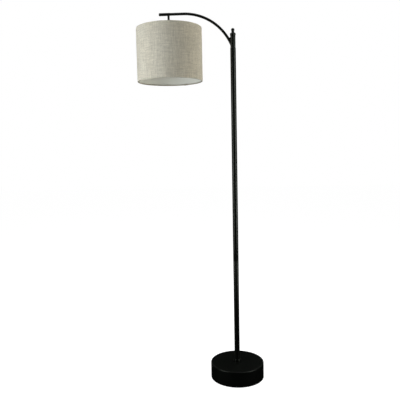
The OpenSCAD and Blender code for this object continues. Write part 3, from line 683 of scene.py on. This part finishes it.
def cut_flat(name, wide, way, columns, cutouts):
    """Sheet laid flat in millimetres, u along X and the profile along Y, with rectangles cut out."""
    bpy.ops.mesh.primitive_grid_add(x_subdivisions=columns, y_subdivisions=len(way) - 1, size=1)
    sheet = bpy.context.object
    sheet.name = name
    for vertex in sheet.data.vertices:
        row = round((vertex.co.y + 0.5) * (len(way) - 1))
        vertex.co = ((vertex.co.x + 0.5) * wide, way[row], 0)
    edit()
    across, along = (1, 0, 0), (0, 1, 0)
    for left, right, near, far in cutouts:
        for place, normal in ((left, across), (right, across), (near, along), (far, along)):
            select_mesh()
            bpy.ops.mesh.bisect(plane_co=Vector(normal) * place, plane_no=normal)
    bpy.ops.mesh.select_all(action="DESELECT")
    bpy.ops.mesh.select_mode(type="FACE")
    leave_edit()
    for face in sheet.data.polygons:
        u, v = face.center.x, face.center.y
        face.select = any(left < u < right and near < v < far for left, right, near, far in cutouts)
    edit()
    bpy.ops.mesh.delete(type="FACE")
    bpy.ops.mesh.select_mode(type="VERT")
    merge_doubles(0.12)
    leave_edit()
    return sheet


def rolled(sheet, profile, seam_angle, wide, around, lap, lift, thickness, unevenness):
    """Rolls a flat sheet round the shade's axis, laps its end over its start and gives it its thickness.

    Its UV map is the flat cut, in metres. unevenness(angle, v) moves the sheet out, in millimetres.
    """
    points, way = profile
    turn_r = around / math.tau
    flat = sheet.data.uv_layers[0]
    flat.name = "flat_cut"
    for loop in sheet.data.loops:
        place = sheet.data.vertices[loop.vertex_index].co
        flat.data[loop.index].uv = (place.x * MM, place.y * MM)
    for vertex in sheet.data.vertices:
        u, v = vertex.co.x, vertex.co.y
        i = min(max(bisect_right(way, v) - 1, 0), len(points) - 2)
        spot = points[i].lerp(points[i + 1], (v - way[i]) / (way[i + 1] - way[i]))
        ahead = (points[min(i + 2, len(points) - 1)] - points[max(i - 1, 0)]).normalized()
        ramp = min(1, max(0, (u - (wide - 2 * lap)) / lap))
        angle = seam_angle + u / turn_r
        out = lift * ramp * ramp * (3 - 2 * ramp) + unevenness(angle, v)
        r, z = spot.x + ahead.y * out, spot.y - ahead.x * out
        vertex.co = Vector((SHADE_X + r * math.cos(angle), r * math.sin(angle), z)) * MM
    modify(sheet, "SOLIDIFY", thickness=thickness * MM, offset=0, use_quality_normals=True)
    return settle(sheet, 50)


# -------- shade

WIRE_D = high("bottom_ring").z - low("bottom_ring").z
RING_R = (width("bottom_ring") - WIRE_D) / 2
BOTTOM_RING_Z = sum(heights("bottom_ring")) / 2
TOP_RING_Z = SHADE_TOP - (BOTTOM_RING_Z - SHADE_BOTTOM)
CLOTH_T = 0.8
LINER_T = 0.6
CLOTH_R = radius("shade_fabric") - CLOTH_T / 2
LINER_R = radius("shade_liner") - LINER_T / 2
# Path of the cloth round a ring: the radius at which it passes inside the ring, how far it passes beyond
# the wire, the radius and the distance beyond the wire at which it ends, and the rounds of its bends
AIR = 0.2
ROLL_R = RING_R - WIRE_D / 2 - CLOTH_T / 2 - AIR
ROLL_OUT = WIRE_D / 2 + CLOTH_T / 2 + 0.55
TUCK_R = LINER_R - LINER_T / 2 - CLOTH_T / 2 - AIR
TUCK_OUT = WIRE_D / 2 + CLOTH_T / 2 + 0.3
ROLL_BEND, TUCK_BEND = 2.3, 1.9
LAP_W = 12
SEAM_ANGLE = math.radians(64)
SPOKE_ANGLES = [math.radians(90 + 120 * k) for k in range(3)]
# Slits in the cloth's upper edge, through which the spokes pass
SLIT_W, SLIT_DEPTH = 7.2, 7.2


def shade_cover():
    """Linen cut in one strip, rolled round the drum, lapped at the rear and tucked in at both rings."""
    low_z, top_z = BOTTOM_RING_Z, TOP_RING_Z
    profile = wall_profile([
        (TUCK_R, low_z + TUCK_OUT, 0), (ROLL_R, low_z + TUCK_OUT, TUCK_BEND),
        (ROLL_R, low_z - ROLL_OUT, ROLL_BEND), (CLOTH_R, low_z - ROLL_OUT, ROLL_BEND),
        *ladder(CLOTH_R, low_z + 3, top_z - 3, 32),
        (CLOTH_R, top_z + ROLL_OUT, ROLL_BEND), (ROLL_R, top_z + ROLL_OUT, ROLL_BEND),
        (ROLL_R, top_z - TUCK_OUT, TUCK_BEND), (TUCK_R, top_z - TUCK_OUT, 0),
    ])
    length = profile[1][-1]
    around = math.tau * CLOTH_R
    wide = around + LAP_W
    slits = []
    for spoke in SPOKE_ANGLES:
        middle = (spoke - SEAM_ANGLE) % math.tau * CLOTH_R
        slits.append((middle - SLIT_W / 2, middle + SLIT_W / 2, length - SLIT_DEPTH, length + 1))

    def unevenness(angle, v):
        """The wall swells slowly, and the cloth puckers where it is turned in and lies over the rings."""
        here = Vector((math.cos(angle), math.sin(angle), 0)) * 2.6
        edge = min(v, length - v)
        swell = noise.noise(here + Vector((0, 0, v / 70))) * 0.22 * min(1, edge / 25)
        folds = max(0, noise.noise(here * 9 + Vector((0, 0, 5 if v < 50 else 9))))
        rim = math.exp(-((edge - 15) / 4) ** 2) * noise.noise(here * 4) * 0.25
        return swell + max(0, 1 - edge / 9) * folds * 0.5 + rim

    sheet = cut_flat("shade_cover", wide, profile[1], 340, slits)
    rolled(sheet, profile, SEAM_ANGLE, wide, around, LAP_W, CLOTH_T + 0.08, CLOTH_T, unevenness)
    mount(sheet, "linen", "arm", "shade_fabric")
    wide * MM
    length * MM


def shade_lining():
    """Stiff white film behind the linen. Its lap is trimmed short of the rings."""
    profile = wall_profile(ladder(LINER_R, BOTTOM_RING_Z, TOP_RING_Z, 30))
    length = profile[1][-1]
    around = math.tau * LINER_R
    lap = LAP_W - 2
    wide = around + lap
    trim = 5
    trims = [(around, wide + 1, -1, trim), (around, wide + 1, length - trim, length + 1)]

    def unevenness(angle, v):
        """The film is a little wavy, and true at the rings."""
        free = min(1, v / 30, (length - v) / 30)
        return noise.noise(Vector((math.cos(angle) * 3, math.sin(angle) * 3, v / 90))) * 0.12 * free

    sheet = cut_flat("shade_lining", wide, profile[1], 240, trims)
    rolled(sheet, profile, SEAM_ANGLE + 0.35, wide, around, lap, -LINER_T - 0.05, LINER_T, unevenness)
    mount(sheet, "shade_lining", "arm", "shade_liner")


def wire_ring(name, z, weld_angle):
    """Wire ring with the low swelling where its ends are butt-welded."""
    bpy.ops.mesh.primitive_torus_add(
        location=(SHADE_X * MM, 0, z * MM), major_segments=240, minor_segments=16,
        major_radius=RING_R * MM, minor_radius=WIRE_D / 2 * MM)
    ring = settle(bpy.context.object, 60)
    ring.name = name
    for vertex in ring.data.vertices:
        x, y = vertex.co.x / MM - SHADE_X, vertex.co.y / MM
        off = (math.atan2(y, x) - weld_angle) * RING_R
        core = Vector((x, y, 0)).normalized() * RING_R + Vector((SHADE_X, 0, z))
        swell = 1 + 0.10 * math.exp(-(off / 2.2) ** 2)
        vertex.co = (core + (vertex.co / MM - core) * swell) * MM
    return ring


def shade_fitter():
    """Washer under the lamp holder, three bent spokes and the top ring, spot-welded together."""
    washer_r, washer_bore_r, spoke_r = 29, SKIRT_R + 0.5, 1.3
    top = HOLDER_SEAT
    rounds = (0.4,) * 4
    washer = tube("fitter_washer", washer_r, washer_bore_r, top - WASHER_T, top, rounds, SHADE_AXIS, 120)
    mount(washer, "zinc_steel", "arm", "shade_spider")
    # Each spoke lies flat on the washer, bends up beyond its edge, and ends inside the top ring
    foot_z = top + spoke_r - 0.25
    corners = [(washer_r - 5.8, foot_z, 0), (washer_r + 1.5, foot_z, 9),
               (RING_R - 1.2, TOP_RING_Z - 0.3, 0)]
    welds = [
        (washer_r - 2.7, top + 0.4, (1.9, 1.9, 0.9)),
        (RING_R - 2.3, TOP_RING_Z - 0.55, (1.5, 1.5, 1.3)),
    ]
    parts = []
    for angle in SPOKE_ANGLES:
        out = Vector((math.cos(angle), math.sin(angle), 0))
        axis = Vector(SHADE_AXIS)
        line = [axis + out * p.x + Vector((0, 0, p.y)) for p in rounded(corners, 8)]
        parts.append(wire("spoke", line, spoke_r))
        parts += [spot_weld(size, axis + out * r + Vector((0, 0, z))) for r, z, size in welds]
    mount(joined("fitter_spokes", parts), "zinc_steel", "arm")
    mount(wire_ring("top_ring", TOP_RING_Z, math.radians(38)), "zinc_steel", "arm")
    mount(wire_ring("lower_ring", BOTTOM_RING_Z, math.radians(52)), "zinc_steel", "arm", "bottom_ring")


# -------- arm and head


def arm_fillet():
    """Weld fillet round the arm's foot, a millimetre wide below and fuller in the narrow crotch above."""
    tube_r, arm_r = radius("head_tube"), radius("arm_tube")
    bend_z = ARM_Z - BEND_R
    middle_turn = math.asin((BEND_X - tube_r) / BEND_R)
    middle_z = bend_z + BEND_R * math.cos(middle_turn)
    half_h = arm_r / math.cos(middle_turn)
    narrowest, crotch_extra = 1, 10.5

    def on_arm(turn, angle):
        r = BEND_R + arm_r * math.cos(angle)
        x, z = r * math.sin(turn) - BEND_X, r * math.cos(turn) + bend_z
        return Vector((x, arm_r * math.sin(angle), z))

    def ends(angle):
        y = arm_r * math.sin(angle)
        r = BEND_R + arm_r * math.cos(angle)
        turn = math.asin((BEND_X - math.sqrt(tube_r ** 2 - y ** 2)) / r)
        root = on_arm(turn, angle)
        crotch = (1 + math.cos(angle)) / 2
        wobble = 1 + 0.06 * noise.noise(Vector((math.cos(angle), math.sin(angle), 0)) * 4)
        spread = (narrowest + crotch_extra * crotch ** 2.6) * wobble
        first = on_arm(turn - spread / r, angle)
        away = Vector((root.y / arm_r ** 2, (root.z - middle_z) / half_h ** 2)).normalized()
        side = math.asin(root.y / tube_r) + away.x * spread / tube_r
        last = Vector((-tube_r * math.cos(side), tube_r * math.sin(side), root.z + away.y * spread))
        return first, root, last

    mount(fillet("arm_fillet", ends, 96, 0.35, 12), "black_paint", "arm", "weld_beads")


def drop_fillet():
    """Weld fillet between the end sleeve and the drop tube."""
    sleeve_r, drop_r = radius("end_sleeve"), radius("drop_tube")
    wide, tall = 1.15, 1.2

    def ends(angle):
        x, y = math.cos(angle), math.sin(angle)

        def on_sleeve(r):
            return Vector((SHADE_X + r * x, r * y, ARM_Z - math.sqrt(sleeve_r ** 2 - (r * y) ** 2)))

        root = on_sleeve(drop_r)
        return root - Vector((0, 0, tall)), root, on_sleeve(drop_r + wide)

    mount(fillet("drop_fillet", ends, 72, 0.25), "black_paint", "arm")


def end_sleeve():
    """Cast end cap over the arm: blind bore, tapered mouth, rounded end, drilled for the drop tube."""
    end, mouth = low("end_sleeve").x - SHADE_X, high("end_sleeve").x - SHADE_X
    r, bore_r = radius("end_sleeve"), radius("arm_tube") + 0.1
    floor_t = 3
    corners = [(0, end, 0), (r, end, 2.4), (r, mouth - 2.2, 1.5), (bore_r + 0.25, mouth, 0.15),
               (bore_r, mouth, 0), (bore_r, end + floor_t, 0.4), (0, end + floor_t, 0)]
    sleeve = turned("end_cap", corners, (SHADE_X, 0, ARM_Z), "X")
    drill_d = width("drop_tube") + 0.2
    drilled(sleeve, drill_d, (SHADE_X, 0, ARM_Z - 9), (SHADE_X, 0, ARM_Z - 2))
    mount(sleeve, "black_paint", "arm", "end_sleeve")


def drop_pipe():
    """Lamp pipe with its thread showing above the lamp holder."""
    z_from, z_to = heights("drop_tube")
    thread_from, thread_to, pitch, depth = z_from + 0.6, z_from + 24, 1, 0.55
    r, wall = radius("drop_tube"), 1.5
    corners = [(r - wall, z_to, 0), (r - wall, z_from, 0), (r - 0.5, z_from, 0),
               *ladder(r, thread_from, thread_to, 96), (r, z_to, 0)]
    pipe = turned("drop_pipe", corners, SHADE_AXIS, steps=64, sharp=50, closed=True)
    cut_thread(pipe, r, r, thread_from, thread_to, pitch, depth)
    mount(settle(pipe, 50), "black_paint", "arm", "drop_tube")


def lock_nuts():
    """Nuts on the drop pipe, on top of the lamp holder's cap and inside it."""
    across, height, bore_r = 15, 4, radius("drop_tube") + 0.1
    lower, upper = heights("drop_nuts")
    pair = [hex_nut(across, bore_r, z, z + height) for z in (upper - height, lower)]
    mount(joined("lock_nuts", pair), "zinc_steel", "arm", "drop_nuts")


def head_cap():
    """Turned cap with a soft shoulder, a spigot in the tube and a bore for the finial."""
    bottom, top = heights("head_cap")
    r, seat = radius("head_cap"), high("head_tube").z
    spigot_r, bore_r = 10.1, 3.1
    corners = [(bore_r, seat, 0), (bore_r, bottom, 0.2), (spigot_r, bottom, 0.6), (spigot_r, seat, 0.1),
               (r, seat, 0.6), (r, top, 4.2), (bore_r, top, 0.2)]
    mount(turned("turned_cap", corners, closed=True), "black_paint", "arm", "head_cap")


def finial():
    """Ball on a waisted neck, turned in one piece with its shank."""
    ball_r, neck_r, foot_r, shank_r = radius("finial"), 6.5, 7.2, 3
    end_z, foot_z, top_z = low("finial").z, high("head_cap").z, high("finial").z
    ball_z = top_z - ball_r
    neck_turn = math.asin(neck_r / ball_r)
    neck_z = ball_z - ball_r * math.cos(neck_turn)
    corners = [(0, end_z, 0), (shank_r, end_z, 0.5), (shank_r, foot_z, 0), (foot_r, foot_z, 0.5),
               (foot_r, foot_z + 1.4, 0.6), (neck_r, foot_z + 5.4, 9), (neck_r, neck_z, 0)]
    steps = 16
    for k in range(1, steps):
        turn = (math.pi - neck_turn) * (1 - k / steps)
        corners.append((ball_r * math.sin(turn), ball_z + ball_r * math.cos(turn), 0))
    corners.append((0, top_z, 0))
    mount(turned("ball_finial", corners, sharp=40), "black_paint", "arm", "finial")


# -------- pole and base


def pole_sections():
    """Three tubes whose ends are broken just enough for the joints to show as fine lines."""
    r, wall = radius("lower_pole"), 1.2
    joint, swivel, inner = 0.45, 0.8, 0.2
    for node, top in (("lower_pole", joint), ("middle_pole", joint), ("upper_pole", swivel)):
        name = node.replace("_pole", "_tube")
        piece = tube(name, r, r - wall, *heights(node), (inner, joint, top, inner))
        mount(piece, "black_paint", "stand", node)


def foot_collar():
    """Collar with a rounded upper edge and a fine step above the base."""
    z_from, z_to = heights("pole_collar")
    r, bore_r = radius("pole_collar"), radius("lower_pole") + 0.1
    step_r = r - 0.4
    corners = [(bore_r, z_from + 5, 0), (bore_r, z_from, 0.3), (step_r, z_from, 0.2),
               (step_r, z_from + 0.7, 0.2), (r, z_from + 1.1, 0.3), (r, z_to, 2.2), (bore_r, z_to, 0.5)]
    mount(turned("foot_collar", corners, closed=True), "black_paint", "stand", "pole_collar")


def base_pad():
    """Foam disc under the base, with a soft edge and a slightly uneven underside."""
    r, z_to = radius("foot_pad"), high("foot_pad").z
    hollow, flat_rim = 0.12, 1.5
    rings = [(r * k / 6, 0, 0) for k in range(6)]
    pad = turned("base_pad", rings + [(r, 0, 0.9), (r, z_to, 0.4), (0, z_to, 0)], sharp=50)
    for vertex in pad.data.vertices:
        if vertex.co.z < 0.5 * MM and vertex.co.xy.length <= (r - flat_rim) * MM:
            vertex.co.z += hollow * MM * max(0, noise.noise(vertex.co * 30))
    mount(pad, "soft_pad", "stand", "foot_pad")


# -------- lamp holder


def holder_shell():
    """Lower part of the phenolic holder: a threaded skirt under the round room for the contacts."""
    seat = HOLDER_SEAT
    mouth, top = heights("holder_body")
    r, skirt_r, neck_r, bore_r, lead_r = HOLDER_R, SKIRT_R, SKIRT_R - 0.7, 16.75, 2.5
    floor = seat + 2
    thread_from, thread_to, pitch, depth = mouth + 1.2, seat - 2, 2.5, 1.1
    groove, groove_r = seat + 5, r - 0.5
    corners = [
        (lead_r, seat + 1, 0), (lead_r, seat, 0.3), (bore_r, seat, 0.6), (bore_r, mouth, 0.8),
        (skirt_r - 0.6, mouth, 0.4), (skirt_r, mouth + 0.9, 0),
        *ladder(skirt_r, thread_from, thread_to, 80),
        (neck_r, thread_to + 0.6, 0), (neck_r, seat, 0.2), (r, seat, 1.2), (r, groove, 0),
        (groove_r, groove + 0.6, 0.3), (groove_r, groove + 1.6, 0.3), (r, groove + 2.2, 0),
        (r, top, 0.6), (ROOM_R, top, 0.3), (ROOM_R, floor, 0.5), (lead_r, floor, 0.3),
    ]
    shell = turned("holder_shell", corners, SHADE_AXIS, closed=True, steps=112, sharp=50)
    cut_thread(shell, skirt_r, skirt_r, thread_from, thread_to, pitch, depth)
    key_hole_d = 4.2
    drilled(settle(shell, 50), key_hole_d, (SHADE_X, 1 - ROOM_R, KEY_Z), (SHADE_X, -r - 2, KEY_Z), 50)
    mount(shell, "black_plastic", "arm", "holder_body")


def holder_dome():
    """Domed cap of the holder, with a spigot in the room and a boss round the drop pipe."""
    seat = high("holder_body").z
    bottom, top = heights("holder_cap")
    pipe_r, boss_r, spigot_r, hollow_r = radius("drop_tube") + 0.1, 9, 18.9, 10.6
    hollow_top, dome_top = seat + 7, top - 4
    corners = [
        (pipe_r, top - 5, 0), (pipe_r, hollow_top, 0.2), (hollow_r, hollow_top, 0.4),
        (hollow_r, bottom, 0.4), (spigot_r, bottom, 0.6), (spigot_r, seat, 0.1), (HOLDER_R, seat, 0.6),
        (HOLDER_R, seat + 3.4, 5), (12.5, dome_top - 0.5, 5), (boss_r, dome_top + 0.3, 1),
        (boss_r, top, 0.8), (pipe_r, top, 0.5),
    ]
    dome = turned("holder_dome", corners, SHADE_AXIS, closed=True, steps=112)
    mount(dome, "black_plastic", "arm", "holder_cap")


def ring_nut():
    """Nut on the skirt with a lip below and a fluted grip."""
    node = "shade_ring_nut"
    bottom, top = heights(node)
    middle = (bottom + top) / 2
    r, bore_r = radius(node), SKIRT_R + 0.1
    flutes, flute_depth = 36, 0.9
    corners = [
        (bore_r, middle, 0), (bore_r, bottom, 0.4), (r - 4.4, bottom, 0.8), (r - 3.6, bottom + 1.4, 0.6),
        (r - 0.4, bottom + 1.8, 0.8), (r - 0.2, bottom + 3, 0), (r, middle + 1, 0), (r, top - 1.6, 0),
        (r, top, 0.6), (bore_r, top, 0.3),
    ]
    nut = turned("ring_nut", corners, SHADE_AXIS, closed=True, steps=288, sharp=50)

    def fluted(r_here, angle, z):
        if r_here < r - 1 or not bottom + 1.9 < z < top - 1.2:
            return 0
        return -flute_depth * max(0, math.cos(flutes * angle)) ** 2

    shift_skin(nut, fluted)
    mount(settle(nut, 50), "black_plastic", "arm", node)


def contact_shell():
    """Brass shell with the rolled thread that takes the bulb."""
    z_from, z_to = heights("screw_shell")
    r, wall = radius("screw_shell"), 0.5
    out = ladder(r, z_from, z_to, 66)
    back = [(r - wall, z, 0) for _, z, _ in reversed(out)]
    shell = turned("contact_shell", out + back, SHADE_AXIS, sharp=60, closed=True)
    cut_thread(shell, r - wall, r, z_from + 1, z_to - 2, BULB_PITCH, BULB_THREAD)
    mount(settle(shell, 60), "brass", "arm", "screw_shell")


def bulb_base():
    """Threaded cap of the bulb, with its contact button in black glass."""
    bottom, top = heights("bulb_cap")
    r = radius("bulb_cap")
    seat = top - 3
    thread_from, thread_to = bottom + 3, seat - 1.6
    cap = turned("bulb_base", [
        (0, bottom, 0), (r - 0.2, bottom, 0.3), (r - 0.2, bottom + 2.4, 0.5),
        *ladder(r, thread_from, thread_to, 50), (r - 0.8, seat - 0.7, 0.5), (r - 2.2, seat, 0.5),
        (0, seat, 0)], SHADE_AXIS, sharp=60)
    cut_thread(cap, r, r, thread_from, thread_to, BULB_PITCH, BULB_THREAD)
    mount(settle(cap, 60), "aluminium", "arm", "bulb_cap")
    button = turned("bulb_button", [
        (0, seat - 0.1, 0), (r - 2.6, seat - 0.1, 0.2), (5.2, top - 0.7, 0.8), (4.3, top - 0.7, 0),
        (4.1, top, 0.4), (0, top, 0)], SHADE_AXIS, sharp=50)
    mount(button, "black_plastic", "arm")


def opal_globe():
    """Round bulb whose side turns smoothly into its neck."""
    ball_r = radius("bulb_globe")
    ball_z = low("bulb_globe").z + ball_r
    side = math.radians(50)
    neck = Vector((13.5, low("bulb_cap").z))
    touch = Vector((ball_r * math.cos(side), ball_z + ball_r * math.sin(side)))
    slope = Vector((-math.sin(side), math.cos(side)))
    bend = touch + slope * (touch.x - neck.x) / math.sin(side)
    ball_steps, neck_steps = 24, 12
    corners = [(0, ball_z - ball_r, 0)]
    for k in range(1, ball_steps + 1):
        turn = -math.pi / 2 + (side + math.pi / 2) * k / ball_steps
        corners.append((ball_r * math.cos(turn), ball_z + ball_r * math.sin(turn), 0))
    for k in range(1, neck_steps + 1):
        share = k / neck_steps
        spot = touch.lerp(bend, share).lerp(bend.lerp(neck, share), share)
        corners.append((spot.x, spot.y, 0))
    corners += [(neck.x - 0.8, neck.y, 0), (0, neck.y, 0)]
    mount(turned("opal_globe", corners, SHADE_AXIS, sharp=60), "frosted_glass", "arm", "bulb_globe")


def turn_key():
    """Key's shaft with its collar, and a round paddle ribbed for the thumb."""
    shaft_r, collar_r, tip_r = 2, 4.5, 1.2
    paddle_r, half_t, flat_r = 8, 1.7, 6.4
    rib_depth, rib_pitch = 0.45, 2.2
    inner, outer = high("switch_key").y, low("switch_key").y
    paddle_y = outer + paddle_r
    paddle_edge = paddle_y + paddle_r
    collar_from = -HOLDER_R - 0.4
    collar_to = collar_from - 4
    shaft = turned("shaft", [
        (0, inner, 0), (shaft_r, inner, 0.3), (shaft_r, collar_from, 0.2), (collar_r, collar_from, 0.5),
        (collar_r, collar_to, 1), (shaft_r + 0.5, collar_to - 0.6, 1.2),
        (shaft_r + 0.3, paddle_edge - 1, 0), (tip_r, paddle_edge - 3, 0), (0, paddle_edge - 3, 0)],
        (SHADE_X, 0, KEY_Z), "Y", 48)
    face = [(paddle_r - 1 - 0.4 * k, half_t) for k in range(1, 17)]
    corners = [(0, -half_t, 0)] + [(r, -z, 0) for r, z in reversed(face)]
    corners += [(paddle_r, -half_t, 1.2), (paddle_r, half_t, 1.2)]
    corners += [(r, z, 0) for r, z in face] + [(0, half_t, 0)]
    paddle = turned("paddle", corners, (SHADE_X, paddle_y, KEY_Z), steps=120, sharp=50)
    for vertex in paddle.data.vertices:
        x, y = vertex.co.x / MM - SHADE_X, vertex.co.y / MM - paddle_y
        z = vertex.co.z / MM - KEY_Z
        if math.hypot(x, y) > flat_r or abs(z) < half_t - 0.1:
            continue
        fade = min(1, (flat_r - math.hypot(x, y)) / 0.8)
        groove = rib_depth * fade * (0.5 - 0.5 * math.cos(math.tau * x / rib_pitch))
        vertex.co.z -= math.copysign(groove, z) * MM
    mount(joined("turn_key", [shaft, settle(paddle, 50)]), "black_plastic", "switch", "switch_key")


# -------- studio

STUDIO_X = -0.1
STUDIO_Z = 1.2
SOFT, COOL, WARM, GREENISH = (1, 1, 1), (0.955, 1.0, 1.08), (1.0, 0.985, 0.95), (0.96, 1.05, 0.92)
# Turn from the camera's side towards the left, distance, width and height, watts, colour, and the kind of
# ray that doesn't see the light: large lights shade the cloth, and narrow ones show in the black paint
LIGHTS = {
    "left_softbox": (55, 1.65, (1.3, 2.0), 30.5, COOL, "visible_glossy"),
    "right_softbox": (-95, 1.75, (1.8, 2.0), 39.5, WARM, "visible_glossy"),
    "rear_softbox": (180, 2.0, (1.8, 2.0), 16, SOFT, "visible_glossy"),
    "left_strip": (60, 1.7, (0.6, 2.0), 19, GREENISH, "visible_diffuse"),
    "right_strip": (-60, 1.7, (0.6, 2.0), 19, GREENISH, "visible_diffuse"),
    "rear_left_strip": (146, 1.7, (0.6, 2.0), 2, GREENISH, "visible_diffuse"),
    "rear_right_strip": (-146, 1.7, (0.6, 2.0), 2, GREENISH, "visible_diffuse"),
}
TOP_WATTS = 12
TOP_HEIGHT = 3.1
TOP_SIZE = (1.6, 1.6)
FLOOR_SIZE = 24
FLOOR_DROP = 0.0001
# Kind of ray, light low down and high up, and the heights between which it changes
WORLD_LIGHT = [
    (None, (0.44, 0.0), (-0.95, -0.35)),
    ("Is Glossy Ray", (0.0, 0.05), (0.38, 0.50)),
    ("Is Camera Ray", (1.0, 1.0), (-1, 1)),
]


def area_light(name, size, watts, colour, unseen_by=None):
    """Soft rectangular light, which one kind of ray may not see."""
    light = bpy.data.lights.new(name, "AREA")
    light.shape = "RECTANGLE"
    light.size, light.size_y = size
    light.energy = watts
    light.color = colour
    lamp = bpy.data.objects.new(name, light)
    if unseen_by:
        setattr(lamp, unseen_by, False)
    bpy.context.scene.collection.objects.link(lamp)
    return lamp


def make_studio():
    """Upright lights round the lamp, and one above it for the inside of the shade."""
    bpy.context.scene.view_settings.view_transform = "Standard"
    for name, (azimuth, distance, *rest) in LIGHTS.items():
        lamp = area_light(name, *rest)
        turn = math.radians(azimuth)
        inward = Vector((math.sin(turn), math.cos(turn), 0))
        lamp.location = Vector((STUDIO_X, 0, STUDIO_Z)) - inward * distance
        lamp.rotation_euler = inward.to_track_quat("-Z", "Y").to_euler()
    area_light("overhead", TOP_SIZE, TOP_WATTS, SOFT).location = (STUDIO_X, 0, TOP_HEIGHT)


def make_world():
    """White where the camera looks past the lamp.

    Its fill comes only steeply from below, as off a pale floor. In gloss it is dark low down, so that
    black paint stays black, and a little lighter higher up.
    """
    world = bpy.data.worlds.new("studio")
    bpy.context.scene.world = world
    world.use_nodes = True
    world.node_tree.nodes.clear()
    sky = Nodes(world.node_tree)
    way = sky.add("ShaderNodeTexCoord", output="Generated")
    rise = sky.add("ShaderNodeSeparateXYZ", inputs={0: way}, output="Z")
    seen = None
    for ray, levels, limits in WORLD_LIGHT:
        inputs = {"Color": (1, 1, 1, 1), "Strength": rise.between(*limits, *levels)}
        light = sky.add("ShaderNodeBackground", inputs=inputs)
        if seen:
            is_ray = sky.add("ShaderNodeLightPath", output=ray)
            light = sky.add("ShaderNodeMixShader", inputs={0: is_ray, 1: seen, 2: light})
        seen = light
    end = sky.tree.nodes.new("ShaderNodeOutputWorld")
    sky.tree.links.new(seen.socket, end.inputs["Surface"])


def make_floor():
    """Pale floor, just under the pad, that fades into the white behind it."""
    bpy.ops.mesh.primitive_plane_add(size=FLOOR_SIZE, location=(0, 0, -FLOOR_DROP))
    floor = bpy.context.object
    floor.name = "floor"
    paper = Finish("studio_paper", Specular_IOR_Level=0.0, Emission_Strength=1.0)
    grain = paper.cloud(9)
    paper.drive(
        Base_Color=paper.mixed(grain, (0.30, 0.30, 0.30), (0.34, 0.34, 0.34)),
        Emission_Color=paper.mixed(grain, (0.99, 0.99, 0.99), (1.0, 1.0, 1.0)),
    )
    floor.data.materials.append(paper.material)
    floor.visible_glossy = floor.visible_diffuse = floor.visible_shadow = False


make_camera()
finish_nodes()
pole_sections()
foot_collar()
base_pad()
head_cap()
finial()
arm_fillet()
drop_fillet()
end_sleeve()
drop_pipe()
lock_nuts()
holder_shell()
holder_dome()
ring_nut()
contact_shell()
bulb_base()
opal_globe()
turn_key()
shade_fitter()
shade_lining()
shade_cover()
make_floor()
make_world()
make_studio()

bpy.context.view_layer.update()
